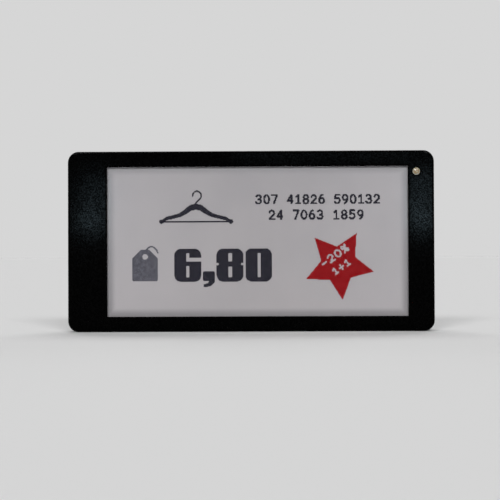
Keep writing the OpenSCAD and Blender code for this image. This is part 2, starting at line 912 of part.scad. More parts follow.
module flex_stiffener() {
  color("#2f6fb0")
    translate([connector_x - flex_reach / 2, y_at(flex_plane + flex_t / 2), window_z - flex_w / 2])
      cube([flex_reach * stiffener_share, stiffener_t, flex_w]);
}

// Four strips of foam between the glass and the tray
module foam_tape() {
  color("#4a4d52")
    difference() {
      translate([glass_left + play, y_at(glass_back), glass_low + play])
        cube([glass_right - glass_left - 2 * play, foam_t, glass_high - glass_low - 2 * play]);
      translate([glass_left + foam_w, y_at(glass_back - over), glass_low + foam_w])
        cube([
          glass_right - glass_left - 2 * foam_w, foam_t + 2 * over,
          glass_high - glass_low - 2 * foam_w
        ]);
    }
}

module display_tray() {
  tray_r = corner_r - wall;
  color("#d9dadb")
    difference() {
      union() {
        plate(foam_back, tray_t)
          translate([0, height / 2])
            round_rect(tray_w, tray_h, tray_r);
        intersection() {
          plate(rim_front, foam_back + over - rim_front)
            translate([0, height / 2])
              round_rect(tray_w, tray_h, tray_r);
          difference() {
            translate([glass_left, y_at(rim_front), glass_low - play - tray_rim_t])
              cube([
                glass_right + play + tray_rim_t - glass_left, foam_back + over - rim_front,
                glass_high - glass_low + 2 * (play + tray_rim_t)
              ]);
            translate([glass_left - over, y_at(rim_front - over), glass_low - play])
              cube([
                glass_right + play - glass_left + over, foam_back - rim_front + over,
                glass_high - glass_low + 2 * play
              ]);
          }
        }
        for (side = [-1, 1], z = screw_z)
          post(side * screw_x, z, tray_back - over, board_front, standoff_d / 2);
      }
      for (side = [-1, 1], z = screw_z)
        post(side * screw_x, z, screw_front - play, board_front + over, screw_d / 2 + bore_play);
      post(light_x, light_z, rim_front - over, foam_back, pipe_flange_r + play);
      post(light_x, light_z, foam_back - over, tray_back + over, lens_d / 2 + play);
      block(
        -width / 2, window_z, 2 * (width / 2 + flex_run_x + flex_t / 2 + play),
        flex_w + 2 * play, rim_front - over, tray_back + over
      );
      for (column = [-2 : 2], row = [-1, 1])
        block(
          column * (tray_window_w + tray_bar_w), height / 2 + row * (tray_window_h + tray_bar_w) / 2,
          tray_window_w, tray_window_h, foam_back - over, tray_back + over
        );
    }
}

module coil_film() {
  color("#d7b26a")
    difference() {
      block(0, height / 2, coil_film_w, coil_film_h, tray_back, tray_back + coil_film_t);
      block(
        0, height / 2, coil_film_w - 2 * coil_band(), coil_film_h - 2 * coil_band(),
        tray_back - over, tray_back + coil_film_t + over
      );
    }
}

// Width of the film's strip that carries the coil
function coil_band() = (coil_turns + 1.5) * (track_w + track_gap);

// Track wound inwards in a square spiral, one bar for each side of a turn
module coil_track() {
  pitch = track_w + track_gap;
  half_w = coil_film_w / 2 - pitch;
  half_h = coil_film_h / 2 - pitch;
  color("#c0793a")
    plate(tray_back + coil_film_t, coil_t)
      translate([0, height / 2])
        for (turn = [0 : coil_turns - 1]) {
          x = half_w - turn * pitch;
          z = half_h - turn * pitch;
          translate([-x, z - track_w])
            square([2 * x, track_w]);
          translate([x - track_w, -z])
            square([track_w, 2 * z]);
          translate([pitch - x, -z])
            square([2 * x - pitch, track_w]);
          translate([pitch - x, -z])
            square([track_w, 2 * z - pitch]);
        }
}

module circuit_board() {
  color("#1f6b3a")
    difference() {
      plate(board_front, board_t)
        translate([0, height / 2])
          round_rect(board_w, board_h, board_r);
      block(
        board_left, window_z, 2 * board_notch, flex_w + 2 * board_r,
        board_front - over, board_back + over
      );
      for (side = [-1, 1], z = screw_z)
        post(side * screw_x, z, board_front - over, board_back + over, screw_d / 2 + bore_play);
    }
}

module part_on_board(place, size) {
  block(place.x, place.y, size.x, size.y, board_back, board_back + size.z);
}

module radio_chip() {
  color("#26282b")
    part_on_board(strip_place(1, right_strip_w, radio_share), [radio_w, radio_w, radio_h]);
}

// Chip with four bent leads on each long side
module memory_chip() {
  place = strip_place(1, right_strip_w, memory_share);
  lead_t = memory_h * lead_t_share;
  lead_w = memory_pitch * lead_w_share;
  knee = memory_lead * lead_knee_share;
  knee_back = board_back + memory_h * lead_knee_share;
  color("#2a2c30") {
    block(
      place.x, place.y, memory_w, memory_l, board_back + lead_t, board_back + memory_h
    );
    for (side = [-1, 1], lead = [-1.5 : 1 : 1.5]) {
      z = place.y + lead * memory_pitch;
      edge_x = place.x + side * memory_w / 2;
      block(edge_x + side * knee / 2, z, knee, lead_w, knee_back, knee_back + lead_t);
      block(edge_x + side * (knee - lead_t / 2), z, lead_t, lead_w, board_back, knee_back);
      block(
        edge_x + side * (memory_lead + knee) / 2, z, memory_lead - knee, lead_w,
        board_back, board_back + lead_t
      );
    }
  }
}

module radio_crystal() {
  color("#c9ccd0")
    part_on_board(
      strip_place(1, right_strip_w, radio_crystal_share),
      [radio_crystal_l, radio_crystal_w, radio_crystal_h]
    );
}

module clock_crystal() {
  color("#d4d0c0")
    part_on_board(
      strip_place(1, right_strip_w, clock_crystal_share),
      [clock_crystal_l, clock_crystal_w, clock_crystal_h]
    );
}

// Square flanges with a round wound core between them
module boost_inductor() {
  place = strip_place(-1, side_strip_w, inductor_share);
  flange_t = inductor_h * inductor_flange_share;
  top = board_back + inductor_h;
  color("#3a3a3e") {
    part_on_board(place, [inductor_w, inductor_w, flange_t]);
    post(place.x, place.y, board_back + flange_t, top - flange_t, inductor_core_d / 2);
    block(place.x, place.y, inductor_w, inductor_w, top - flange_t, top);
  }
}

module boost_semiconductors() {
  color("#2b2d31")
    for (share = diode_shares)
      part_on_board(strip_place(-1, side_strip_w, share), [diode_l, diode_w, diode_h]);
}

module ceramic_capacitors() {
  color("#b08d63") {
    for (column = capacitor_column_shares, row = capacitor_row_shares)
      part_on_board(
        strip_place(-1, left_strip_w, [column, row]), [capacitor_w, capacitor_l, capacitor_w]
      );
    for (share = right_capacitor_shares)
      part_on_board(
        strip_place(1, right_strip_w, share), [capacitor_w, capacitor_l, capacitor_w]
      );
  }
}

module tantalum_capacitors() {
  color("#d0a23c")
    for (share = tantalum_shares)
      part_on_board(strip_place(-1, side_strip_w, share), [tantalum_l, tantalum_w, tantalum_h]);
}

module chip_resistors() {
  color("#202124") {
    for (share = left_resistor_shares)
      part_on_board(strip_place(-1, side_strip_w, share), [resistor_w, resistor_l, resistor_h]);
    for (share = right_resistor_shares)
      part_on_board(strip_place(1, right_strip_w, share), [resistor_w, resistor_l, resistor_h]);
  }
}

module status_led() {
  color("#f0ead0")
    block(light_x, light_z, led_w, led_l, board_front - led_h, board_front);
}

// Housing with a slot for the flex and a recess on top in which the latch lies
module flex_connector() {
  top = board_back + connector_h;
  color("#e9e4d6")
    difference() {
      translate([connector_x, y_at(board_back), window_z - connector_l / 2])
        cube([connector_d, connector_h, connector_l]);
      translate([
        connector_x - over, y_at(flex_plane - flex_t / 2) - play / 2, window_z - slot_w / 2
      ])
        cube([
          flex_reach + play + over, flex_t + stiffener_t + play, slot_w
        ]);
      translate([
        latch_pivot_x - latch_l - play, y_at(top - latch_t) - play / 2, window_z - slot_w / 2
      ])
        cube([latch_l + latch_t + play + over, latch_t + play + over, slot_w]);
      post_z(latch_pivot_x, latch_pivot_f, connector_l - connector_end, trunnion_r + bore_play);
    }
}

// Round rod along the height, with its middle at the display's middle
module post_z(x, f, l, r) {
  translate([x, y_at(f), window_z - l / 2])
    cylinder(h = l, r = r);
}

module flex_contacts() {
  foot_x = connector_x + connector_d;
  color("#d8b455")
    for (contact = [0 : contact_n - 1])
      block(
        foot_x + contact_foot / 2, window_z - contact_span / 2 + contact * contact_pitch,
        contact_foot, contact_w, board_back, board_back + contact_t
      );
}

// Flap with a round pivot along its edge and two end trunnions
module flex_latch() {
  flap_w = slot_w - 2 * play;
  color("#3b3430") {
    post_z(latch_pivot_x, latch_pivot_f, flap_w, latch_t / 2);
    translate([latch_pivot_x - latch_l, y_at(latch_pivot_f - latch_t / 2), window_z - flap_w / 2])
      cube([latch_l, latch_t, flap_w]);
    post_z(latch_pivot_x, latch_pivot_f, connector_l - connector_end - 2 * play, trunnion_r);
  }
}

// Bent sheet: a slotted roof on two legs along the board's edge
module aerial() {
  place = [aerial_x, window_z];
  roof = board_back + aerial_h;
  finger = aerial_l / (aerial_slots + 1);
  color("#d9d9dc") {
    difference() {
      block(place.x, place.y, aerial_w, aerial_l, roof - aerial_t, roof);
      for (slot = [1 : aerial_slots])
        block(
          place.x + (slot % 2 == 0 ? aerial_slot : -aerial_slot),
          place.y - aerial_l / 2 + slot * finger, aerial_w, aerial_slot, roof - aerial_t - over,
          roof + over
        );
    }
    for (end = [-1, 1])
      block(
        place.x, place.y + end * (aerial_l - aerial_t) / 2, aerial_w, aerial_t, board_back, roof
      );
  }
}

// Base strips on the board with two sprung arms each, bent up to the cells' caps
module minus_contacts() {
  color("#cfcabb")
    for (side = [-1, 1])
      translate([side * cell_x, y_at(board_back), cell_z]) {
        translate([-minus_w / 2, 0, -minus_h / 2])
          cube([minus_w, strip_t, minus_h]);
        for (arm = [0, 1])
          mirror([arm, 0, 0])
            translate([minus_w / 2, 0, -minus_arm_share * minus_h / 2])
              linear_extrude(minus_arm_share * minus_h)
                polygon([
                  [-strip_t, 0], [0, 0], [minus_arm * minus_tip_share, contact_h - strip_t],
                  [minus_arm, contact_h - strip_t], [minus_arm, contact_h],
                  [minus_arm * minus_heel_share, contact_h], [-strip_t, strip_t]
                ]);
      }
}

// Strips on the board, bent up along the cells' cans
module plus_contacts() {
  strip_z = cell_z - cell_d / 2 - touch_gap;
  strip_back = bay_floor_front - play;
  color("#cfcabb")
    for (side = [-1, 1])
      translate([side * cell_x - plus_w / 2, 0, 0]) {
        translate([0, y_at(board_back), strip_z - strip_t])
          cube([plus_w, strip_back - board_back, strip_t]);
        translate([0, y_at(board_back), strip_z - plus_foot])
          cube([plus_w, strip_t, plus_foot - strip_t]);
      }
}

// Cup with a rolled-in front edge; the outline is given as radius and depth
module cell_can(side) {
  r = cell_d / 2;
  lip = cell_front + cell_cap_h;
  color("#c9cbce")
    turned(side * cell_x, cell_z)
      difference() {
        union() {
          translate([0, lip])
            square([r - cell_round, cell_t - cell_cap_h]);
          translate([0, lip + cell_round])
            square([r, cell_t - cell_cap_h - 2 * cell_round]);
          for (f = [lip + cell_round, cell_back - cell_round])
            translate([r - cell_round, f])
              circle(cell_round);
        }
        translate([0, lip + cell_sheet])
          square([r - cell_sheet, cell_t - cell_cap_h - 2 * cell_sheet]);
        translate([0, lip - over])
          square([cell_cap_d / 2 + cell_seal_w, cell_sheet + 2 * over]);
      }
}

// Electrode pack with the sealing ring that stands between the can and the cap
module cell_core(side) {
  lip = cell_front + cell_cap_h;
  color("#5c5f63")
    turned(side * cell_x, cell_z) {
      translate([0, lip + cell_sheet])
        square([cell_d / 2 - cell_sheet, cell_t - cell_cap_h - 2 * cell_sheet]);
      translate([cell_cap_d / 2, lip])
        square([cell_seal_w, cell_sheet]);
    }
}

// Shallow cap with a rounded edge
module cell_cap(side) {
  cap_h = cell_cap_h + cell_sheet;
  cap_round = cap_h * cap_round_share;
  color("#d5d7da")
    turned(side * cell_x, cell_z) {
      translate([0, cell_front])
        square([cell_cap_d / 2 - cap_round, cap_h]);
      translate([0, cell_front + cap_round])
        square([cell_cap_d / 2, cap_h - cap_round]);
      translate([cell_cap_d / 2 - cap_round, cell_front + cap_round])
        intersection() {
          circle(cap_round);
          translate([0, -cap_round])
            square(cap_round);
        }
    }
}

module left_cell_can() {
  cell_can(-1);
}

module left_cell_core() {
  cell_core(-1);
}

module left_cell_cap() {
  cell_cap(-1);
}

module right_cell_can() {
  cell_can(1);
}

module right_cell_core() {
  cell_core(1);
}

module right_cell_cap() {
  cell_cap(1);
}

// Pan-head screws with a cross recess
module board_screws() {
  head_back = board_back + screw_head_h;
  color("#b9bcc0")
    for (side = [-1, 1], z = screw_z)
      difference() {
        union() {
          post(side * screw_x, z, screw_front, board_back, screw_d / 2);
          turned(side * screw_x, z)
            difference() {
              translate([0, board_back])
                square([screw_head_d / 2, screw_head_h]);
              difference() {
                translate([0, head_back - screw_head_h / 2])
                  square([screw_head_d, screw_head_h]);
                translate([0, head_back - screw_head_d])
                  circle(screw_head_d);
              }
            }
        }
        for (turn = [0, 90])
          translate([side * screw_x, y_at(head_back - screw_slot_d), z])
            rotate([0, turn, 0])
              translate([-screw_slot_share * screw_head_d / 2, 0, -screw_slot_w / 2])
                cube([screw_slot_share * screw_head_d, screw_slot_d + over, screw_slot_w]);
      }
}

module switch_base() {
  color("#303338")
    difference() {
      block(-button_x, button_z, switch_w, switch_w, board_back, board_back + switch_h);
      post(
        -button_x, button_z, board_back + switch_h - plunger_flange_t - button_travel - 2 * play,
        board_back + switch_h + over, plunger_flange_r + play
      );
    }
}

module switch_cover() {
  color("#c6c9cc")
    difference() {
      block(-button_x, button_z, switch_w, switch_w, board_back + switch_h, switch_top);
      post(
        -button_x, button_z, board_back + switch_h - over, switch_top + over,
        plunger_d / 2 + play
      );
    }
}

module switch_plunger() {
  flange_back = board_back + switch_h - play;
  color("#1f2022") {
    post(-button_x, button_z, flange_back - plunger_flange_t, plunger_top, plunger_d / 2);
    post(
      -button_x, button_z, flange_back - plunger_flange_t, flange_back, plunger_flange_r
    );
  }
}

// Round key with a flange behind the back wall and a stem down to the switch
module button_cap() {
  flange_back = door_front - play;
  color("#2a2c2e") {
    post(-button_x, button_z, plunger_top, flange_back, stem_d / 2);
    post(
      -button_x, button_z, flange_back - button_flange_t, flange_back, button_flange_r
    );
    difference() {
      post(-button_x, button_z, flange_back - over, depth - button_sunk, button_d / 2);
      translate([-button_x, y_at(depth - button_sunk) + button_d, button_z])
        sphere(button_d * dish_share);
    }
  }
}

// Section of a hook, as distance out from the skirt's inner face and depth
module hook_section() {
  root = frame_depth + reveal;
  barb_front = hook_front + hook_reach * barb_front_share;
  barb_back = hook_front + hook_reach * barb_back_share;
  polygon([
    [-hook_gap - hook_t, hook_front], [-hook_gap, hook_front], [barb, barb_front],
    [barb, barb_back], [-hook_gap, barb_back], [-hook_gap, root], [over, root],
    [over, root + hook_root], [-hook_gap - hook_t, root + hook_root]
  ]);
}

// Space that the door, its rails, tongues, lip and pad run in
module door_space() {
  run = height - bay_low + over;
  translate([-door_w / 2 - slide_gap, y_at(ledge_back), bay_low])
    cube([door_w + 2 * slide_gap, depth - ledge_back + over, run]);
  translate([-groove_x, y_at(ledge_back), bay_low])
    cube([2 * groove_x, groove_back - ledge_back, run]);
  translate([-pad_channel_x, y_at(bay_floor_back), bay_low])
    cube([2 * pad_channel_x, ledge_back - bay_floor_back + over, run]);
  mouth_chamfer(
    0, (bay_low + height + rail_wall) / 2, door_w + 2 * slide_gap, height + rail_wall - bay_low,
    door_chamfer
  );
  for (side = [-1, 1])
    translate([side * tongue_pitch / 2 - tongue_w / 2 - slide_gap, y_at(ledge_back), tongue_low])
      cube([tongue_w + 2 * slide_gap, groove_back - ledge_back, tongue_l + over]);
}

// Rails that an accessory slides on from below: a narrow throat over a wider channel
module channel_space() {
  for (side = [-1, 1]) {
    block(
      side * channel_x, channel_l / 2 - over, throat_w, channel_l + 2 * over,
      depth - channel_lip - over, depth + over
    );
    block(
      side * channel_x, channel_l / 2 - over, channel_w, channel_l + 2 * over,
      depth - channel_d, depth - channel_lip
    );
    mouth_chamfer(
      side * channel_x, (channel_l - channel_lip) / 2, throat_w, channel_l + channel_lip,
      channel_chamfer
    );
  }
}

// Rear half of the case: skirt and back wall, the door's bay with the wells of the cells, the
// accessory channels, the button's sleeve, the hooks, the posts and the ribs
module rear_case() {
  rib_front = door_front - rib_h;
  post_z_low = wall + board_inset + post_d / 2;
  color("#222427")
    difference() {
      union() {
        around_case()
          difference() {
            union() {
              translate([0, door_front])
                square([corner_r, door_t]);
              translate([corner_r - wall, frame_depth])
                square([wall, depth - frame_depth]);
            }
            translate([0, depth])
              mirror([0, 1])
                rounding_cut(back_round);
            translate([corner_r - reveal, frame_depth - over])
              square([reveal + over, reveal + over]);
          }
        case_middle(door_front, door_t);
        translate([-bay_block_x, y_at(bay_floor_front), bay_block_low])
          cube([2 * bay_block_x, door_front - bay_floor_front, height - wall / 2 - bay_block_low]);
        for (side = [-1, 1]) {
          post(side * cell_x, cell_z, board_back, bay_floor_back, well_outer_r);
          post(
            side * cell_x, lever_z, bay_floor_back - lever_d - bay_floor_t, bay_floor_back,
            lever_r + well_wall
          );
          block(
            side * channel_x, (channel_l + channel_wall + wall / 2) / 2, channel_w + 2 * channel_wall,
            channel_l + channel_wall - wall / 2, depth - channel_d - channel_wall, door_front + over
          );
          for (z = [post_z_low, height - post_z_low])
            post(
              side * (strip_x + post_share * side_strip_w), z, board_back, door_front + over,
              post_d / 2
            );
          for (share = rib_height_shares)
            block(
              side * (bay_block_x + width / 2 - wall) / 2, share * height,
              width / 2 - wall - bay_block_x + 2 * over, rib_t, rib_front, door_front + over
            );
        }
        post(
          -button_x, button_z, door_front - button_flange_t - button_travel - 2 * play,
          door_front + over, sleeve_bore_r + sleeve_t
        );
        at_hooks(hook_w)
          hook_section();
      }
      for (side = [-1, 1]) {
        post(side * cell_x, cell_z, board_back - over, bay_floor_back + over, well_r);
        post(side * cell_x, lever_z, bay_floor_back - lever_d, bay_floor_back + over, lever_r);
        block(
          side * cell_x, cell_z - well_r, plus_w + 4 * play, 2 * (well_wall + well_gap),
          board_back - over, bay_floor_front
        );
        for (z = [post_z_low, height - post_z_low])
          post(
            side * (strip_x + post_share * side_strip_w), z, board_back - over, door_front, post_bore / 2
          );
      }
      door_space();
      channel_space();
      post(-button_x, button_z, door_front - over, depth + over, button_bore_r);
      translate([-button_x, y_at(depth - button_chamfer), button_z])
        rotate([-90, 0, 0])
          cylinder(
            h = button_chamfer + over, r1 = button_bore_r,
            r2 = button_bore_r + button_chamfer + over
          );
      post(
        -button_x, button_z, door_front - button_flange_t - button_travel - 3 * play,
        door_front, sleeve_bore_r
      );
      bottom_relief();
    }
  color("#222427")
    for (side = [-1, 1])
      detent(side, detent_r, detent_h);
}

// Low round bump on the ledge under the door's edge
module detent(side, r, h) {
  intersection() {
    translate([side * detent_x, y_at(ledge_back + h - r), detent_z])
      sphere(r);
    block(side * detent_x, detent_z, 2 * r, 2 * r, ledge_back - over, ledge_back + h);
  }
}

// Frame of ribs on the door's inner face, round the foam pad
module door_ribs() {
  rib_x = pad_w / 2 + door_rib_gap + door_rib_t / 2;
  rib_z = pad_h / 2 + door_rib_gap + door_rib_t / 2;
  rib_front = door_front - door_rib_h;
  rib_low = door_z + door_rib_gap;
  rib_high = height - door_lip_t;
  for (side = [-1, 1]) {
    block(
      side * rib_x, (rib_low + rib_high) / 2, door_rib_t, rib_high - rib_low, rib_front,
      door_front + over
    );
    block(0, cell_z + side * rib_z, 2 * rib_x, door_rib_t, rib_front, door_front + over);
  }
}

// Sliding door: plate with side rails, bottom tongues, a top lip and a ribbed thumb recess
module battery_door() {
  rib_pitch = thumb_h / (thumb_ribs + 1);
  plate_h = height + rail_wall - door_z;
  plate_z = door_z + plate_h / 2;
  color("#26282b")
    intersection() {
      case_solid();
      difference() {
        union() {
          block(0, plate_z, door_w, plate_h, door_front, depth - door_chamfer);
          sloped_block(0, plate_z, door_w, plate_h, depth - door_chamfer, depth, door_chamfer);
          translate([-door_w / 2 - rail_w, y_at(door_front), door_z])
            cube([door_w + 2 * rail_w, rail_t, height - wall - door_z]);
          for (side = [-1, 1])
            translate([side * tongue_pitch / 2 - tongue_w / 2, y_at(door_front), door_z - tongue_l])
              cube([tongue_w, rail_t, tongue_l + over]);
          translate([slide_gap - pad_channel_x, y_at(pad_front), height - door_lip_t])
            cube([2 * (pad_channel_x - slide_gap), pad_t + over, door_lip_t]);
          door_ribs();
        }
        plate(depth - thumb_d, thumb_d + over)
          translate([0, thumb_z])
            round_rect(thumb_w, thumb_h, thumb_h * thumb_corner_share);
        for (side = [-1, 1])
          translate([side * detent_x, y_at(ledge_back + detent_h - detent_r), detent_z])
            sphere(detent_r + 2 * (slide_gap - detent_h));
      }
    }
  color("#26282b")
    for (rib = [1 : thumb_ribs]) {
      z = rib * rib_pitch - thumb_h / 2;
      rib_l = thumb_w - thumb_h + 2 * sqrt(pow(thumb_h / 2, 2) - pow(abs(z) + thumb_rib_w, 2));
      block(
        0, thumb_z + z, rib_l, thumb_rib_w, depth - thumb_d - over,
        depth - thumb_d * (1 - thumb_rib_share)
      );
    }
}

module door_pad() {
  color("#55585c")
    block(0, cell_z, pad_w, pad_h, pad_front, door_front);
}

front_frame();
display_window();
window_tape();
light_pipe();
ink_film();
display_glass();
driver_chip();
display_flex();
flex_stiffener();
foam_tape();
display_tray();
coil_film();
coil_track();
circuit_board();
radio_chip();
memory_chip();
radio_crystal();
clock_crystal();
boost_inductor();
boost_semiconductors();
ceramic_capacitors();
tantalum_capacitors();
chip_resistors();
status_led();
flex_connector();
flex_contacts();
flex_latch();
aerial();
minus_contacts();
plus_contacts();
left_cell_can();
left_cell_core();
left_cell_cap();
right_cell_can();
right_cell_core();
right_cell_cap();
board_screws();
switch_base();
switch_cover();
switch_plunger();
button_cap();
rear_case();
battery_door();
door_pad();
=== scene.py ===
"""Electronic shelf label: finishes, studio and the picture on its display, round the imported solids.

Metres, in the frame of the solids: X to the right as seen from the front, Y to the back, Z up.
"""

import json
import math

import bpy
import numpy as np
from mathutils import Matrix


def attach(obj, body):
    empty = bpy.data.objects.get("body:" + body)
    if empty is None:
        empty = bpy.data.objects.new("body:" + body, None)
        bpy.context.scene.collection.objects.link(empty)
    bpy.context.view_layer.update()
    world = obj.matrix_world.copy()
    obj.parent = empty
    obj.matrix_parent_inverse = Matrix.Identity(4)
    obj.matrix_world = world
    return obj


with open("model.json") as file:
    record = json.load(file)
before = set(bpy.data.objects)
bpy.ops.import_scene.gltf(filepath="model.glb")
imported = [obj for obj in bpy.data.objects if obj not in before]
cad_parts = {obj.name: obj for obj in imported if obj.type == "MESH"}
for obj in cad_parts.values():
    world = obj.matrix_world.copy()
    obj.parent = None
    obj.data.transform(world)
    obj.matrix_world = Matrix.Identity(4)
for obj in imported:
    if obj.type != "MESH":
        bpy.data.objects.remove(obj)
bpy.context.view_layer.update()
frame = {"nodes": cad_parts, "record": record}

nodes = frame["nodes"]

MM = 0.001

# Places of the solids, as X and Z in mm: the window's middle and the right-hand coin cell's axis
WINDOW_MIDDLE = (1.825, 24.85)
CELL_MIDDLE = (13.05, 24.9)


# Camera: in front of the label, a little right of its middle and below its mid height

CAMERA_PLACE = (5.62 * MM, -450 * MM, 20.60 * MM)
CAMERA_TURN = (90.865, 0.244, 0.753)
CAMERA_LENS = 116.1
CAMERA_SHIFT = (-0.0004, -0.0351)


def make_camera():
    data = bpy.data.cameras.new("camera")
    data.sensor_width = 36
    data.lens = CAMERA_LENS
    data.shift_x, data.shift_y = CAMERA_SHIFT
    data.clip_start, data.clip_end = 0.01, 100
    camera = bpy.data.objects.new("camera", data)
    camera.location = CAMERA_PLACE
    camera.rotation_euler = [math.radians(a) for a in CAMERA_TURN]
    bpy.context.scene.collection.objects.link(camera)
    bpy.context.scene.camera = camera


# Helpers


def linear(code):
    """Linear colour of an sRGB hex code."""
    parts = np.array([int(code[i:i + 2], 16) / 255 for i in (1, 3, 5)])
    parts = np.where(parts <= 0.04045, parts / 12.92, ((parts + 0.055) / 1.055) ** 2.4)
    return (*parts.tolist(), 1.0)


def add(tree, kind, sockets=None, **settings):
    """Adds a node with its settings; a socket given as an output is linked, any other is set."""
    node = tree.nodes.new(kind)
    for name, value in settings.items():
        setattr(node, name, value)
    for name, value in (sockets or {}).items():
        if isinstance(value, bpy.types.NodeSocket):
            tree.links.new(value, node.inputs[name])
        else:
            node.inputs[name].default_value = value
    return node


def new_material(name):
    """Material with an empty node tree, and that tree."""
    material = bpy.data.materials.new(name)
    material.use_nodes = True
    material.node_tree.nodes.clear()
    return material, material.node_tree


def new_mesh(name, points, faces, material, body="label"):
    """Piece with the given points in metres, which rides on a body unless that is None."""
    mesh = bpy.data.meshes.new(name)
    mesh.from_pydata(points.tolist(), [], faces.tolist())
    mesh.materials.append(material)
    mesh.update()
    piece = bpy.data.objects.new(name, mesh)
    bpy.context.scene.collection.objects.link(piece)
    if body:
        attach(piece, body)
    return piece


# Stage

PALE = "#D6D6D6"
FLOOR_TONE = "#E8E8E8"
FLOOR_REACH = 60.0
FLOOR_DROP = 0.02
WORLD_LIGHT = 0.1

# Azimuth from the front towards the right, elevation, strength and angle, all but the strength in
# degrees. The keys light the front and cast the soft shadows beside the ends. The three behind
# light the back and the top, and keep the floor even.
SUNS = {
    "key_left": (-14, 27, 1.17, 13),
    "key_right": (14, 27, 1.17, 13),
    "rear_high": (180, 57, 1.1, 34),
    "rear_left": (-150, 16, 0.52, 30),
    "rear_right": (150, 16, 0.52, 30),
}

# Small bluish softboxes behind the camera, with place and size in mm and power: they give no
# diffuse light and only glint in the frame's grain
SOFTBOX_TONE = "#B4D2E0"
SOFTBOXES = {
    "glint_left_low": ((-127, -750, 48), (16, 14), 0.027),
    "glint_left_high": ((-122, -750, 66), (20, 28), 0.022),
    "glint_right_low": ((117, -750, 48), (16, 14), 0.032),
    "glint_right_high": ((117, -750, 67), (18, 30), 0.033),
    "glint_top": ((45, -750, 100), (130, 12), 0.026),
}


def make_floor():
    """Matte floor just under the label's foot, far wider than the picture."""
    paint, tree = new_material("matte_studio_floor")
    shader = add(tree, "ShaderNodeBsdfDiffuse", {"Color": linear(FLOOR_TONE)})
    add(tree, "ShaderNodeOutputMaterial", {"Surface": shader.outputs[0]})
    corners = np.array([[-1, -1, 0], [1, -1, 0], [1, 1, 0], [-1, 1, 0]]) * FLOOR_REACH
    corners[:, 2] = -FLOOR_DROP * MM
    floor = new_mesh("studio_floor", corners, np.array([[0, 1, 2, 3]]), paint, body=None)


def make_world():
    """Dim even light from all sides, which the camera and the mirrors see as a pale background."""
    world = bpy.data.worlds.new("studio")
    bpy.context.scene.world = world
    world.use_nodes = True
    tree = world.node_tree
    tree.nodes.clear()
    light = add(
        tree, "ShaderNodeBackground", {"Color": linear("#FFFFFF"), "Strength": WORLD_LIGHT}
    )
    shown = add(tree, "ShaderNodeBackground", {"Color": linear(PALE), "Strength": 1.0})
    path = add(tree, "ShaderNodeLightPath")
    seen = path.outputs["Is Camera Ray"]
    for ray in ("Is Glossy Ray", "Is Transmission Ray"):
        either = add(tree, "ShaderNodeMath", {0: seen, 1: path.outputs[ray]}, operation="MAXIMUM")
        seen = either.outputs[0]
    mixed = add(tree, "ShaderNodeMixShader", {0: seen, 1: light.outputs[0], 2: shown.outputs[0]})
    add(tree, "ShaderNodeOutputWorld", {"Surface": mixed.outputs[0]})


def add_lamp(data, place, turn):
    """Lamp object at a place in mm, turned by angles in degrees."""
    lamp = bpy.data.objects.new(data.name, data)
    lamp.location = [p * MM for p in place]
    lamp.rotation_euler = [math.radians(a) for a in turn]
    bpy.context.scene.collection.objects.link(lamp)
    return lamp


def make_lamps():
    """The suns, and the softboxes that stand upright and face the label."""
    for name, (azimuth, elevation, strength, angle) in SUNS.items():
        data = bpy.data.lights.new(name, "SUN")
        data.energy = strength
        data.angle = math.radians(angle)
        add_lamp(data, (0, 0, 0), (90 - elevation, 0, azimuth))
    for name, (place, size, power) in SOFTBOXES.items():
        data = bpy.data.lights.new(name, "AREA")
        data.color = linear(SOFTBOX_TONE)[:3]
        data.shape = "RECTANGLE"
        data.size, data.size_y = (s * MM for s in size)
        data.energy = power
        lamp = add_lamp(data, place, (90, 0, 0))
        lamp.visible_camera = False
        lamp.visible_diffuse = False


# Finishes

# Nearly all values of a noise lie in the wide range, and most of them in the narrow one
NOISE_WIDE = {"From Min": 0.3, "From Max": 0.7}
NOISE_NARROW = {"From Min": 0.38, "From Max": 0.62}
GRAIN_SHARE = 0.75


def finish(name, tones, patch, roughness, grain=0.0, height=0.0, **sockets):
    """Material whose colour and roughness drift between two values in patches of a size in mm.

    tones: two hex colours; roughness: two values; grain and height: size and height in mm of the
    fine bumps of the surface. sockets: settings of the shader, with _ for a space.
    """
    material, tree = new_material(name)
    place = add(tree, "ShaderNodeTexCoord").outputs["Object"]
    drift = add(
        tree, "ShaderNodeTexNoise", {"Vector": place, "Scale": 1 / (patch * MM), "Detail": 3.0}
    )
    tone = drift.outputs[0]
    settings = {key.replace("_", " "): value for key, value in sockets.items()}
    if grain:
        bumps = add(
            tree, "ShaderNodeTexNoise",
            {"Vector": place, "Scale": 1 / (grain * MM), "Detail": 2.0, "Roughness": 0.6},
        )
        bump = add(
            tree, "ShaderNodeBump",
            {"Strength": 1.0, "Distance": height * MM, "Height": bumps.outputs[0]},
        )
        settings["Normal"] = bump.outputs[0]
        tone = add(
            tree, "ShaderNodeMix", {0: GRAIN_SHARE, 2: tone, 3: bumps.outputs[0]}
        ).outputs[0]
    share = add(tree, "ShaderNodeMapRange", {"Value": tone, **NOISE_NARROW})
    colour = add(
        tree, "ShaderNodeMix", {0: share.outputs[0], 6: linear(tones[0]), 7: linear(tones[1])},
        data_type="RGBA",
    )
    rough = add(
        tree, "ShaderNodeMapRange",
        {"Value": tone, **NOISE_WIDE, "To Min": roughness[0], "To Max": roughness[1]},
    )
    settings.update({"Base Color": colour.outputs[2], "Roughness": rough.outputs[0]})
    shader = add(tree, "ShaderNodeBsdfPrincipled", settings)
    add(tree, "ShaderNodeOutputMaterial", {"Surface": shader.outputs[0]})
    return material


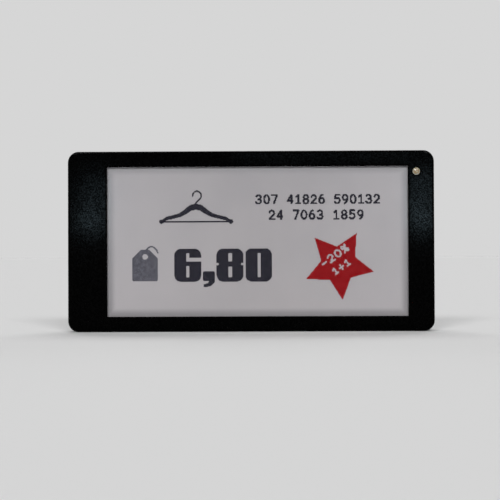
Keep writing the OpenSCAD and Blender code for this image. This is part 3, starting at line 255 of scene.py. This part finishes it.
def clear_window():
    """Hard-coated acrylic sheet with an anti-reflective finish: clear from the front, and a soft
    mirror from low angles."""
    haze_size = 8
    steepness = 4.0
    least_mirror, more_mirror = 0.003, 0.85  # seen square on, and what a grazing view adds

    material, tree = new_material("coated_acrylic")
    place = add(tree, "ShaderNodeTexCoord").outputs["Object"]
    haze = add(tree, "ShaderNodeTexNoise", {"Vector": place, "Scale": 1 / (haze_size * MM)})
    rough = add(
        tree, "ShaderNodeMapRange",
        {"Value": haze.outputs[0], **NOISE_WIDE, "To Min": 0.05, "To Max": 0.1},
    )
    mirror = add(
        tree, "ShaderNodeBsdfAnisotropic",
        {"Color": linear("#F4F6F8"), "Roughness": rough.outputs[0]},
    )
    clear = add(tree, "ShaderNodeBsdfTransparent", {"Color": linear("#FBFCFC")})
    facing = add(tree, "ShaderNodeLayerWeight", {"Blend": 0.5})
    steep = add(
        tree, "ShaderNodeMath", {0: facing.outputs["Facing"], 1: steepness}, operation="POWER"
    )
    share = add(
        tree, "ShaderNodeMath", {0: steep.outputs[0], 1: more_mirror, 2: least_mirror},
        operation="MULTIPLY_ADD",
    )
    mixed = add(
        tree, "ShaderNodeMixShader",
        {0: share.outputs[0], 1: clear.outputs[0], 2: mirror.outputs[0]},
    )
    add(tree, "ShaderNodeOutputMaterial", {"Surface": mixed.outputs[0]})
    return material


def frame_plastic():
    """Black ABS from a spark-eroded tool, whose grain glints only where a lamp is mirrored. The grain
    is drawn about twice as coarse as the real one, so that it shows. The bezel's face is painted near
    black, a painted shade darker than the same plastic on the skirt behind it, which has the
    coarser, greyer grain of the rear half."""
    drift_size = 9
    grain_size, grain_height = 0.3, 0.002
    leather_size = 0.7
    bezel_end, skirt_start = -5.6, -5.1  # Y in mm

    material, tree = new_material("spark_eroded_black_abs")
    place = add(tree, "ShaderNodeTexCoord").outputs["Object"]
    drift = add(
        tree, "ShaderNodeTexNoise", {"Vector": place, "Scale": 1 / (drift_size * MM), "Detail": 3.0}
    )
    # Painted shade: the near black of the bezel's face, a darker copy of the grey that the same
    # plastic has on the skirt
    black = add(
        tree, "ShaderNodeMix", {0: drift.outputs[0], 6: linear("#010101"), 7: linear("#020202")},
        data_type="RGBA",
    )
    rough = add(
        tree, "ShaderNodeMapRange",
        {"Value": drift.outputs[0], **NOISE_WIDE, "To Min": 0.34, "To Max": 0.42},
    )
    grains = add(
        tree, "ShaderNodeTexNoise", {"Vector": place, "Scale": 1 / (grain_size * MM), "Detail": 1.0}
    )
    leather = add(
        tree, "ShaderNodeTexNoise",
        {"Vector": place, "Scale": 1 / (leather_size * MM), "Detail": 2.0, "Roughness": 0.6},
    )
    share = add(tree, "ShaderNodeMapRange", {"Value": leather.outputs[0], **NOISE_NARROW})
    grey = add(
        tree, "ShaderNodeMix", {0: share.outputs[0], 6: linear("#08090A"), 7: linear("#1A1B1D")},
        data_type="RGBA",
    )
    depth = add(tree, "ShaderNodeSeparateXYZ", {0: place})
    skirt = add(
        tree, "ShaderNodeMapRange",
        {"Value": depth.outputs["Y"], "From Min": bezel_end * MM, "From Max": skirt_start * MM},
        interpolation_type="SMOOTHSTEP",
    )
    # The bezel's face takes the painted near black, the skirt the plastic's own grey
    colour = add(
        tree, "ShaderNodeMix",
        {0: skirt.outputs[0], 6: black.outputs[2], 7: grey.outputs[2]}, data_type="RGBA",
    )
    shine = add(
        tree, "ShaderNodeMapRange",
        {"Value": grains.outputs[0], "From Min": 0.4, "From Max": 0.64, "To Min": 0.15,
         "To Max": 1.0},
    )
    bump = add(
        tree, "ShaderNodeBump",
        {"Strength": 1.0, "Distance": grain_height * MM, "Height": grains.outputs[0]},
    )
    facing = add(tree, "ShaderNodeLayerWeight", {"Blend": 0.5})
    sheen = add(
        tree, "ShaderNodeMapRange",
        {"Value": facing.outputs["Facing"], "From Min": 0.3, "From Max": 1.0, "To Max": 0.2},
    )
    shader = add(
        tree, "ShaderNodeBsdfPrincipled",
        {"Base Color": colour.outputs[2], "Roughness": rough.outputs[0], "IOR": 1.54,
         "Specular IOR Level": sheen.outputs[0], "Coat Weight": shine.outputs[0],
         "Coat Roughness": 0.075, "Coat IOR": 1.1, "Coat Normal": bump.outputs[0],
         "Normal": bump.outputs[0]},
    )
    add(tree, "ShaderNodeOutputMaterial", {"Surface": shader.outputs[0]})
    return material


def turned_steel():
    """Nickel-plated steel of the cells, with the faint rings of the tool that pressed it and a
    pressed cross above the middle. The rings lie round the axis of each cell, and are drawn
    coarser than the real ones to show."""
    ring_size, ring_height = 0.3, 0.004
    stain_size = 5
    cross_rise, cross_depth = 6.8, 0.02
    bar_long, bar_wide = 3.6, 0.7

    material, tree = new_material("pressed_nickel_plated_steel")
    place = add(tree, "ShaderNodeTexCoord").outputs["Object"]
    mirrored = add(tree, "ShaderNodeVectorMath", {0: place}, operation="ABSOLUTE")
    centred = add(
        tree, "ShaderNodeVectorMath",
        {0: mirrored.outputs[0], 1: (CELL_MIDDLE[0] * MM, 0, CELL_MIDDLE[1] * MM)},
        operation="SUBTRACT",
    )
    flat = add(
        tree, "ShaderNodeVectorMath", {0: centred.outputs[0], 1: (1, 0, 1)}, operation="MULTIPLY"
    )
    radius = add(tree, "ShaderNodeVectorMath", {0: flat.outputs[0]}, operation="LENGTH")
    rings = add(
        tree, "ShaderNodeTexNoise",
        {"W": radius.outputs["Value"], "Scale": 1 / (ring_size * MM), "Detail": 2.0,
         "Roughness": 0.7},
        noise_dimensions="1D",
    )
    stains = add(
        tree, "ShaderNodeTexNoise", {"Vector": place, "Scale": 1 / (stain_size * MM), "Detail": 2.0}
    )
    bright = add(
        tree, "ShaderNodeMix", {0: stains.outputs[0], 6: linear("#C4C5C5"), 7: linear("#D2D3D2")},
        data_type="RGBA",
    )
    rough = add(
        tree, "ShaderNodeMapRange",
        {"Value": rings.outputs[0], **NOISE_WIDE, "To Min": 0.2, "To Max": 0.32},
    )
    bump = add(
        tree, "ShaderNodeBump",
        {"Strength": 1.0, "Distance": ring_height * MM, "Height": rings.outputs[0]},
    )
    # Cross: for either bar, the larger of the two distances from its middle in shares of its half
    # size is one at its edge, and the smaller value of both bars counts
    offset = add(
        tree, "ShaderNodeVectorMath", {0: flat.outputs[0], 1: (0, 0, cross_rise * MM)},
        operation="SUBTRACT",
    )
    offset = add(tree, "ShaderNodeVectorMath", {0: offset.outputs[0]}, operation="ABSOLUTE")
    reaches = []
    for across, up in ((bar_long / 2, bar_wide / 2), (bar_wide / 2, bar_long / 2)):
        scaled = add(
            tree, "ShaderNodeVectorMath",
            {0: offset.outputs[0], 1: (1 / (across * MM), 0, 1 / (up * MM))},
            operation="MULTIPLY",
        )
        sides = add(tree, "ShaderNodeSeparateXYZ", {0: scaled.outputs[0]})
        reach = add(
            tree, "ShaderNodeMath", {0: sides.outputs["X"], 1: sides.outputs["Z"]},
            operation="MAXIMUM",
        )
        reaches.append(reach.outputs[0])
    nearer = add(tree, "ShaderNodeMath", {0: reaches[0], 1: reaches[1]}, operation="MINIMUM")
    plain = add(
        tree, "ShaderNodeMapRange",
        {"Value": nearer.outputs[0], "From Min": 0.8, "From Max": 1.2},
        interpolation_type="SMOOTHSTEP",
    )
    colour = add(
        tree, "ShaderNodeMix",
        {0: plain.outputs[0], 6: linear("#7C7D7E"), 7: bright.outputs[2]}, data_type="RGBA",
    )
    dent = add(
        tree, "ShaderNodeBump",
        {"Strength": 1.0, "Distance": cross_depth * MM, "Height": plain.outputs[0],
         "Normal": bump.outputs[0]},
    )
    shader = add(
        tree, "ShaderNodeBsdfPrincipled",
        {"Base Color": colour.outputs[2], "Metallic": 1.0, "Roughness": rough.outputs[0],
         "Normal": dent.outputs[0]},
    )
    add(tree, "ShaderNodeOutputMaterial", {"Surface": shader.outputs[0]})
    return material


def paper_film():
    """Ink capsules in a clear binder under a matte sheet: a flat, faintly pinkish grey, with painted
    light that makes it lighter towards its foot and its two ends, and a darker border along the edge
    of the window that is partly the display's own border and partly painted shade of the bezel."""
    bright_half = (40.15, 19.3)  # half size in mm of the sheet inside the border
    # Painted shade: the border is partly the display's own border and partly painted shade of the
    # bezel on the recessed film
    border_in, border_out = -1.2, 0.8  # where the border starts and is full, from that edge
    # Painted light: the sheet is painted lighter towards its foot and darker towards its head
    foot, head = 4, 46  # heights in mm between which the tone falls
    # Painted light: the sheet is painted lighter towards its two ends
    ends_start, ends_full = 8, 40  # distances in mm from the middle, to either side
    drift_size = 14
    capsule_size, capsule_height = 0.3, 0.001

    material, tree = new_material("ink_capsule_film")
    place = add(tree, "ShaderNodeTexCoord").outputs["Object"]
    centred = add(
        tree, "ShaderNodeVectorMath",
        {0: place, 1: (WINDOW_MIDDLE[0] * MM, 0, WINDOW_MIDDLE[1] * MM)}, operation="SUBTRACT",
    )
    away = add(tree, "ShaderNodeVectorMath", {0: centred.outputs[0]}, operation="ABSOLUTE")
    beyond = add(
        tree, "ShaderNodeVectorMath",
        {0: away.outputs[0], 1: (bright_half[0] * MM, 1, bright_half[1] * MM)},
        operation="SUBTRACT",
    )
    sides = add(tree, "ShaderNodeSeparateXYZ", {0: beyond.outputs[0]})
    farther = add(
        tree, "ShaderNodeMath", {0: sides.outputs["X"], 1: sides.outputs["Z"]}, operation="MAXIMUM"
    )
    # Painted shade, partly the display's own border: a darker rim along the window's edge
    border = add(
        tree, "ShaderNodeMapRange",
        {"Value": farther.outputs[0], "From Min": border_in * MM, "From Max": border_out * MM},
        interpolation_type="SMOOTHSTEP",
    )
    drift = add(
        tree, "ShaderNodeTexNoise", {"Vector": place, "Scale": 1 / (drift_size * MM), "Detail": 3.0}
    )
    height = add(tree, "ShaderNodeSeparateXYZ", {0: place})
    # Painted light: lighter towards the foot, darker towards the head
    painted_light_fall = add(
        tree, "ShaderNodeMapRange",
        {"Value": height.outputs["Z"], "From Min": foot * MM, "From Max": head * MM,
         "To Min": 0.45, "To Max": -0.35},
    )
    tone = add(
        tree, "ShaderNodeMath", {0: drift.outputs[0], 1: painted_light_fall.outputs[0]}, operation="ADD",
        use_clamp=True,
    )
    sheet = add(
        tree, "ShaderNodeMix", {0: tone.outputs[0], 6: linear("#A8A3A6"), 7: linear("#B8B1B3")},
        data_type="RGBA",
    )
    ends = add(tree, "ShaderNodeSeparateXYZ", {0: away.outputs[0]})
    # Painted light: lighter towards the two ends
    painted_end_light = add(
        tree, "ShaderNodeMapRange",
        {"Value": ends.outputs["X"], "From Min": ends_start * MM, "From Max": ends_full * MM,
         "To Max": 0.3},
    )
    sheet = add(
        tree, "ShaderNodeMix",
        {0: painted_end_light.outputs[0], 6: sheet.outputs[2], 7: linear("#C3BDC1")}, data_type="RGBA",
    )
    # Painted shade: the rim is painted darker towards the foot and lighter at the head, where the
    # bezel's cast shadow already falls
    rim = add(
        tree, "ShaderNodeMix",
        {0: painted_light_fall.outputs[0], 6: linear("#9F9B9E"), 7: linear("#968F91")}, data_type="RGBA",
    )
    colour = add(
        tree, "ShaderNodeMix",
        {0: border.outputs[0], 6: sheet.outputs[2], 7: rim.outputs[2]}, data_type="RGBA",
    )
    capsules = add(
        tree, "ShaderNodeTexNoise",
        {"Vector": place, "Scale": 1 / (capsule_size * MM), "Detail": 2.0},
    )
    bump = add(
        tree, "ShaderNodeBump",
        {"Strength": 1.0, "Distance": capsule_height * MM, "Height": capsules.outputs[0]},
    )
    rough = add(
        tree, "ShaderNodeMapRange", {"Value": capsules.outputs[0], "To Min": 0.68, "To Max": 0.8}
    )
    shader = add(
        tree, "ShaderNodeBsdfPrincipled",
        {"Base Color": colour.outputs[2], "Roughness": rough.outputs[0],
         "Specular IOR Level": 0.02, "Normal": bump.outputs[0]},
    )
    add(tree, "ShaderNodeOutputMaterial", {"Surface": shader.outputs[0]})
    return material


def make_finishes():
    """Every material by the name of the record's slot that it belongs to."""
    finishes = {}
    finishes["frame_abs"] = frame_plastic()
    # Rear half, from a coarser tool: soft black and duller, with a grain like fine leather
    finishes["case_abs"] = finish(
        "coarse_eroded_black_abs", ("#0B0C0D", "#202123"), 8, (0.4, 0.56), grain=0.7,
        height=0.07, IOR=1.54, Specular_IOR_Level=0.14,
    )
    # Door, from a tool of its own: the same black, a trace lighter and finer
    finishes["door_abs"] = finish(
        "door_eroded_black_abs", ("#0D0E0F", "#222325"), 8, (0.38, 0.54), grain=0.62,
        height=0.06, IOR=1.54, Specular_IOR_Level=0.14,
    )
    # Key: smooth satin black that stands out from the grain round it
    finishes["key_abs"] = finish(
        "satin_black_abs", ("#121314", "#18191B"), 2, (0.28, 0.34), grain=0.2,
        height=0.004, IOR=1.54, Specular_IOR_Level=0.3,
    )
    finishes["window_acrylic"] = clear_window()
    # Flat black
    finishes["black_tape"] = finish(
        "black_acrylic_tape", ("#0C0C0D", "#151516"), 1, (0.6, 0.75), grain=0.15, height=0.01
    )
    # Milky cream, softly glossy, with light inside it
    finishes["lens_polycarbonate"] = finish(
        "milky_polycarbonate", ("#7A6A4E", "#8C7B5C"), 0.7, (0.12, 0.2), IOR=1.58,
        Coat_Weight=0.2, Coat_Roughness=0.08, Subsurface_Weight=0.15, Subsurface_Scale=0.0005,
    )
    finishes["ink_film"] = paper_film()
    # Polished and clear, with a grey-green tint
    finishes["display_glass"] = finish(
        "thin_display_glass", ("#7F9590", "#8AA09B"), 10, (0.04, 0.06), IOR=1.52,
        Transmission_Weight=0.75,
    )
    # Dark blue-grey and nearly a mirror
    finishes["silicon"] = finish("sawn_silicon", ("#2C2D33", "#34363D"), 3, (0.18, 0.26), IOR=2.2)
    # Smooth amber film
    finishes["polyimide"] = finish(
        "copper_clad_polyimide", ("#B5731C", "#C98B2B"), 2, (0.25, 0.32), Coat_Weight=0.4
    )
    # Plain satin blue
    finishes["stiffener"] = finish("blue_stiffener_film", ("#285E98", "#2F6FB0"), 2, (0.35, 0.45))
    # Dry dark grey with fine pores
    finishes["foam"] = finish(
        "closed_cell_foam", ("#3C3F43", "#4E5156"), 0.5, (0.85, 0.95), grain=0.25, height=0.08,
        Specular_IOR_Level=0.2,
    )
    # Even matte white
    finishes["tray_abs"] = finish(
        "moulded_white_abs", ("#CFD0D0", "#DADBDB"), 9, (0.45, 0.55), grain=0.3, height=0.006
    )
    # Warm bare metal
    finishes["copper"] = finish(
        "etched_copper_foil", ("#B9693A", "#C77B49"), 1.5, (0.28, 0.4), Metallic=1.0
    )
    # Deep green lacquer over a faint weave
    finishes["board_epoxy"] = finish(
        "masked_glass_epoxy", ("#155A2E", "#1F6F3B"), 1.2, (0.24, 0.34), grain=0.5, height=0.004,
        Coat_Weight=0.3,
    )
    # Matte charcoal
    finishes["chip_epoxy"] = finish(
        "moulded_chip_epoxy", ("#232527", "#2B2D30"), 0.8, (0.5, 0.62), grain=0.08, height=0.006
    )
    # Bright silver
    finishes["can_metal"] = finish(
        "nickel_plated_lid", ("#BFC1C2", "#CDCFD0"), 0.8, (0.25, 0.38), Metallic=1.0
    )
    # Dry, dark and grainy like fired clay
    finishes["ferrite"] = finish(
        "pressed_ferrite", ("#35363A", "#424348"), 0.5, (0.55, 0.7), grain=0.12, height=0.01
    )
    # Sandy brown
    finishes["ceramic"] = finish(
        "fired_ceramic", ("#A58258", "#B8956B"), 0.5, (0.4, 0.55), grain=0.1, height=0.004
    )
    # Dull yellow
    finishes["tantalum_epoxy"] = finish(
        "yellow_chip_epoxy", ("#C7962F", "#D3A844"), 0.8, (0.35, 0.45), grain=0.1, height=0.004
    )
    # Glossy black
    finishes["resistor_glaze"] = finish(
        "glazed_chip_resistor", ("#17181A", "#222426"), 0.5, (0.2, 0.35)
    )
    # Pale straw, wet-looking
    finishes["led_epoxy"] = finish(
        "clear_led_epoxy", ("#E6DFC2", "#F2EDD8"), 0.4, (0.2, 0.3), IOR=1.5, Coat_Weight=0.5
    )
    # Satin ivory
    finishes["connector_polymer"] = finish(
        "ivory_liquid_crystal_polymer", ("#DCD6C6", "#E8E3D6"), 1, (0.4, 0.5), grain=0.15,
        height=0.004,
    )
    # Warm yellow shine
    finishes["gold_plate"] = finish(
        "gold_plated_bronze", ("#D3A94B", "#E0BC66"), 0.4, (0.2, 0.3), Metallic=1.0
    )
    # Dark brown
    finishes["latch_polymer"] = finish(
        "brown_latch_polymer", ("#2F2823", "#3B332D"), 0.8, (0.4, 0.5), grain=0.12, height=0.004
    )
    # Bright, a little uneven
    finishes["tinned_steel"] = finish(
        "tinned_sheet_steel", ("#C6C7C8", "#D5D6D6"), 1.5, (0.25, 0.4), Metallic=1.0
    )
    # Silver with a warm cast
    finishes["contact_nickel"] = finish(
        "nickel_plated_spring_steel", ("#BDB9AE", "#CCC8BD"), 1, (0.22, 0.34), Metallic=1.0
    )
    finishes["cell_steel"] = turned_steel()
    # Dull dark grey ring between can and cap
    finishes["cell_core"] = finish(
        "nylon_seal_ring", ("#4E5154", "#5C5F63"), 1, (0.45, 0.6), grain=0.2, height=0.003
    )
    # Cool bluish silver
    finishes["screw_steel"] = finish(
        "zinc_plated_steel", ("#AEB1B5", "#BDC0C3"), 0.5, (0.28, 0.4), Metallic=1.0
    )
    # Near black, with the dry look of a filled polymer
    finishes["switch_polymer"] = finish(
        "glass_filled_nylon", ("#1F2124", "#2B2D31"), 0.6, (0.45, 0.58), grain=0.1, height=0.004
    )
    return finishes


def dress_nodes(finishes):
    """Gives every solid the finish of its slot in the record."""
    slots = {row["node"]: row["material_slot"] for row in frame["record"]["subparts"]}
    for name, piece in nodes.items():
        material = finishes[slots[name]]
        if not piece.material_slots:
            piece.data.materials.append(material)
        for place in piece.material_slots:
            place.material = material


# Picture on the display, drawn on the display's own square pixels; all in mm

PIXEL = 0.2075
COLUMNS, ROWS = 400, 199
PICTURE_LOW = (
    WINDOW_MIDDLE[0] - COLUMNS * PIXEL / 2,
    WINDOW_MIDDLE[1] - ROWS * PIXEL / 2,
)
PICTURE_FRONT, PICTURE_BACK = -4.893, -4.87

grid_x = PICTURE_LOW[0] + (np.arange(COLUMNS) + 0.5) * PIXEL
grid_z = PICTURE_LOW[1] + (np.arange(ROWS) + 0.5) * PIXEL
GX, GZ = np.meshgrid(grid_x, grid_z)


def rounded(x0, z0, x1, z1, r=0.0):
    """Pixels inside a box with rounded corners: the distance to the shrunk box is under r."""
    dx = np.abs(GX - (x0 + x1) / 2) - (x1 - x0) / 2 + r
    dz = np.abs(GZ - (z0 + z1) / 2) - (z1 - z0) / 2 + r
    return np.hypot(dx.clip(0), dz.clip(0)) + np.minimum(np.maximum(dx, dz), 0) <= r


def strokes(path, width):
    """Pixels near a line through the points; width is one value or one for each point.

    The foot of each pixel on a segment is at the share of it that is the product of both vectors
    over the segment's squared length, kept between 0 and 1; a pixel is drawn where its distance
    to that foot is under half the width there.
    """
    least = 1e-12  # keeps a segment without length from dividing by zero
    path = np.asarray(path, float)
    half = np.broadcast_to(np.asarray(width, float) / 2, len(path))
    near = np.zeros(GX.shape, bool)
    for a, b, ha, hb in zip(path[:-1], path[1:], half[:-1], half[1:]):
        along = b - a
        share = ((GX - a[0]) * along[0] + (GZ - a[1]) * along[1]) / max(along @ along, least)
        share = share.clip(0, 1)
        away = np.hypot(GX - a[0] - share * along[0], GZ - a[1] - share * along[1])
        near |= away <= ha + share * (hb - ha)
    return near


def arc(x, z, rx, rz, start, end, count=14):
    """Points along an ellipse's arc; the angles run anticlockwise from the right, in degrees."""
    a = np.radians(np.linspace(start, end, count))
    return np.stack([x + rx * np.cos(a), z + rz * np.sin(a)], 1)


def inside(outline):
    """Pixels inside a closed outline, by counting how often a ray to the right crosses it."""
    outline = np.asarray(outline, float)
    hit = np.zeros(GX.shape, bool)
    for a, b in zip(outline, np.roll(outline, -1, 0)):
        if a[1] != b[1]:
            crosses = (GZ < a[1]) != (GZ < b[1])
            hit ^= crosses & (GX < a[0] + (GZ - a[1]) * (b[0] - a[0]) / (b[1] - a[1]))
    return hit


# Lines of each small figure in a box one wide and one high
FIGURES = {
    "0": [arc(0.5, 0.5, 0.5, 0.5, 0, 360, 28)],
    "1": [[(0.12, 0.78), (0.55, 1), (0.55, 0)], [(0.15, 0), (0.95, 0)]],
    "2": [np.vstack([arc(0.5, 0.7, 0.46, 0.3, 165, -35), [(0.02, 0), (1, 0)]])],
    "3": [
        np.vstack([arc(0.45, 0.75, 0.46, 0.25, 150, -90), arc(0.45, 0.27, 0.52, 0.27, 80, -160)]),
    ],
    "4": [[(0.74, 0), (0.74, 1), (0, 0.3), (1, 0.3)]],
    "5": [
        np.vstack([[(0.94, 1), (0.14, 1), (0.08, 0.55)], arc(0.45, 0.32, 0.52, 0.32, 130, -150)]),
    ],
    "6": [arc(0.5, 0.31, 0.47, 0.31, 0, 360, 24), arc(0.95, 0.35, 0.92, 0.7, 110, 178)],
    "7": [[(0, 1), (1, 1), (0.38, 0)]],
    "8": [arc(0.5, 0.75, 0.42, 0.25, 0, 360, 20), arc(0.5, 0.26, 0.5, 0.27, 0, 360, 20)],
    "9": [arc(0.5, 0.69, 0.47, 0.31, 0, 360, 24), arc(0.05, 0.65, 0.92, 0.7, -70, -2)],
    "-": [[(0.1, 0.45), (0.9, 0.45)]],
    "+": [[(0, 0.45), (1, 0.45)], [(0.5, 0), (0.5, 0.9)]],
    "%": [
        arc(0.2, 0.78, 0.2, 0.2, 0, 360, 12), arc(0.8, 0.2, 0.2, 0.2, 0, 360, 12),
        [(0.9, 1), (0.1, 0)],
    ],
}


def figures(text, x, z, wide, high, step, width, turn=0.0):
    """Pixels of a row of small figures that starts at x, z and climbs at the angle turn.

    Each figure is wide by high and starts a step after the last one; width is that of its lines.
    """
    drawn = np.zeros(GX.shape, bool)
    c, s = math.cos(math.radians(turn)), math.sin(math.radians(turn))
    for place, figure in enumerate(text):
        for line in FIGURES.get(figure, []):
            line = np.asarray(line, float) * (wide, high) + (place * step, 0)
            drawn |= strokes(line @ np.array([[c, s], [-s, c]]) + (x, z), width)
    return drawn


def fat_figure(figure, x, z, wide, high):
    """Pixels of a heavy upright figure: a rounded block with narrow slots and gaps cut in it.

    The places of the cuts are shares of the figure's width and height.
    """

    def cut(x0, z0, x1, z1, r=0.0):
        return rounded(x + x0 * wide, z + z0 * high, x + x1 * wide, z + z1 * high, r)

    block = cut(0, 0, 1, 1, 0.24 * wide)
    if figure == "0":
        return block & ~cut(0.455, 0.13, 0.565, 0.87)
    if figure == "8":
        waist = cut(-0.2, 0.505, 0.07, 0.565) | cut(0.93, 0.505, 1.2, 0.565)
        return block & ~cut(0.45, 0.13, 0.57, 0.44) & ~cut(0.45, 0.6, 0.57, 0.87) & ~waist
    slots = cut(0.45, 0.13, 0.57, 0.48) | cut(0.45, 0.72, 0.57, 0.87)
    return block & ~slots & ~cut(0.57, 0.62, 1.1, 0.72) & ~cut(0.45, 0.6, 0.57, 0.75)


def draw_picture():
    """The three inks' pixels: a hanger, a price, a tag, rows of figures and a star."""
    price_low, price_wide, price_high = 13.8, 7.35, 9.1
    row_wide, row_high, row_line = 1.38, 2.3, 0.56
    star_x, star_z, star_radius, star_turn = 24.2, 18.42, 9.9, 30
    slant = 35

    # Hanger: hook, neck, shoulders that thin towards the ends, the bar and end knobs
    hook = np.vstack([arc(-14.89, 37.58, 1.2, 1.2, 185, -45), [(-15.21, 35.6), (-15.21, 34.9)]])
    shoulders = [
        (-24.6, 30.5), (-23.2, 31.3), (-21.4, 31.7), (-19.6, 32.2), (-17.9, 33.2), (-16.6, 34.2),
        (-15.2, 34.5), (-13.8, 34.2), (-12.5, 33.2), (-10.8, 32.2), (-9.0, 31.7), (-7.0, 31.2),
        (-5.5, 30.5),
    ]
    widths = [0.6, 1.0, 1.0, 1.15, 1.35, 1.6, 1.7, 1.6, 1.35, 1.15, 1.0, 1.0, 0.6]
    black = strokes(hook, 0.42) | strokes(shoulders, widths)
    black |= strokes([(-24.6, 30.3), (-5.6, 30.3)], 0.36)
    for x in (-24.7, -5.5):
        black |= strokes([(x, 30.4), (x + 0.01, 30.4)], 1.25)

    # Price: three heavy figures and a comma
    for figure, x in (("6", -21.16), ("8", -9.5), ("0", -1.59)):
        black |= fat_figure(figure, x, price_low, price_wide, price_high)
    black |= rounded(-13.23, 13.9, -10.1, 16.7, 0.3)
    black |= inside([
        (-10.1, 14.2), (-10.1, 13.6), (-11.2, 12.5), (-13.2, 12.2), (-13.2, 13.0), (-11.9, 13.4),
        (-11.7, 14.0),
    ])

    # Two rows of figures
    for text, x, z, step in (
        ("307 41826 590132", 1.5, 35.3, 2.17), ("24 7063 1859", 5.1, 31.0, 2.22),
    ):
        black |= figures(text, x, z, row_wide, row_high, step, row_line)

    # Star of ten corners in turn on two circles, with slanting marks cut out
    corners = np.arange(10)
    turns = np.radians(star_turn + 36 * corners)
    radii = np.where(corners % 2 == 0, star_radius, star_radius / 2)
    red = inside(np.stack([star_x + radii * np.sin(turns), star_z + radii * np.cos(turns)], 1))
    red &= ~figures("-20%", 20.1, 17.6, 1.5, 1.9, 2.3, 0.48, slant)
    red &= ~figures("1+1", 23.2, 15.6, 1.2, 1.6, 2.0, 0.44, slant)

    # Grey tag beside the price: body, chamfered top, string and hole
    grey = rounded(-32.9, 13.9, -25.7, 20.6, 0.6)
    grey |= inside([
        (-32.9, 19.6), (-25.7, 19.6), (-25.7, 20.3), (-28.0, 22.6), (-30.6, 22.6), (-32.9, 20.3),
    ])
    grey |= strokes(arc(-27.5, 21.0, 1.8, 2.5, 180, 20), 0.42)
    grey &= ~strokes([(-29.3, 20.7), (-29.29, 20.7)], 1.5)
    return {"black": black, "grey": grey, "red": red}


def ink_layer(name, pixels, material):
    """Closed slab with the outline of whole pixels: a square in front and one at the back for
    each pixel, and a wall wherever its neighbour is empty. A corner's number counts two, front
    and back, for each crossing of the grid, along the rows from the lower left."""
    row, column = np.nonzero(pixels)

    def corner(right, up, back):
        return ((row + up) * (COLUMNS + 1) + column + right) * 2 + back

    def neighbour(right, up):
        padded = np.pad(pixels, 1)
        return padded[row + 1 + up, column + 1 + right]

    def face(corners, keep=slice(None)):
        return np.stack([corner(*c) for c in corners], 1)[keep]

    faces = np.vstack([
        face([(0, 0, 0), (1, 0, 0), (1, 1, 0), (0, 1, 0)]),
        face([(0, 0, 1), (0, 1, 1), (1, 1, 1), (1, 0, 1)]),
        face([(0, 0, 0), (0, 1, 0), (0, 1, 1), (0, 0, 1)], ~neighbour(-1, 0)),
        face([(1, 0, 0), (1, 0, 1), (1, 1, 1), (1, 1, 0)], ~neighbour(1, 0)),
        face([(0, 0, 0), (0, 0, 1), (1, 0, 1), (1, 0, 0)], ~neighbour(0, -1)),
        face([(0, 1, 0), (1, 1, 0), (1, 1, 1), (0, 1, 1)], ~neighbour(0, 1)),
    ])
    used, faces = np.unique(faces, return_inverse=True)
    faces = faces.reshape(-1, 4)
    place, back = used // 2, used % 2
    points = np.stack([
        PICTURE_LOW[0] + (place % (COLUMNS + 1)) * PIXEL,
        np.where(back == 1, PICTURE_BACK, PICTURE_FRONT),
        PICTURE_LOW[1] + (place // (COLUMNS + 1)) * PIXEL,
    ], 1)
    return new_mesh(name, points * MM, faces, material)


def make_picture():
    """Three inks of the film, each flat and matte with a fine drift of its tone."""
    dull = {"Specular_IOR_Level": 0.02}
    inks = {
        "black": finish("black_ink_capsules", ("#29272F", "#302E37"), 1.2, (0.7, 0.8), **dull),
        "grey": finish("grey_ink_capsules", ("#55535B", "#64626B"), 1.0, (0.7, 0.8), **dull),
        "red": finish("red_ink_capsules", ("#8C1217", "#97191E"), 1.5, (0.7, 0.8), **dull),
    }
    for name, pixels in draw_picture().items():
        ink_layer("picture_" + name, pixels, inks[name])


make_camera()
make_floor()
make_world()
make_lamps()
dress_nodes(make_finishes())
make_picture()

bpy.context.scene.view_settings.view_transform = "Standard"
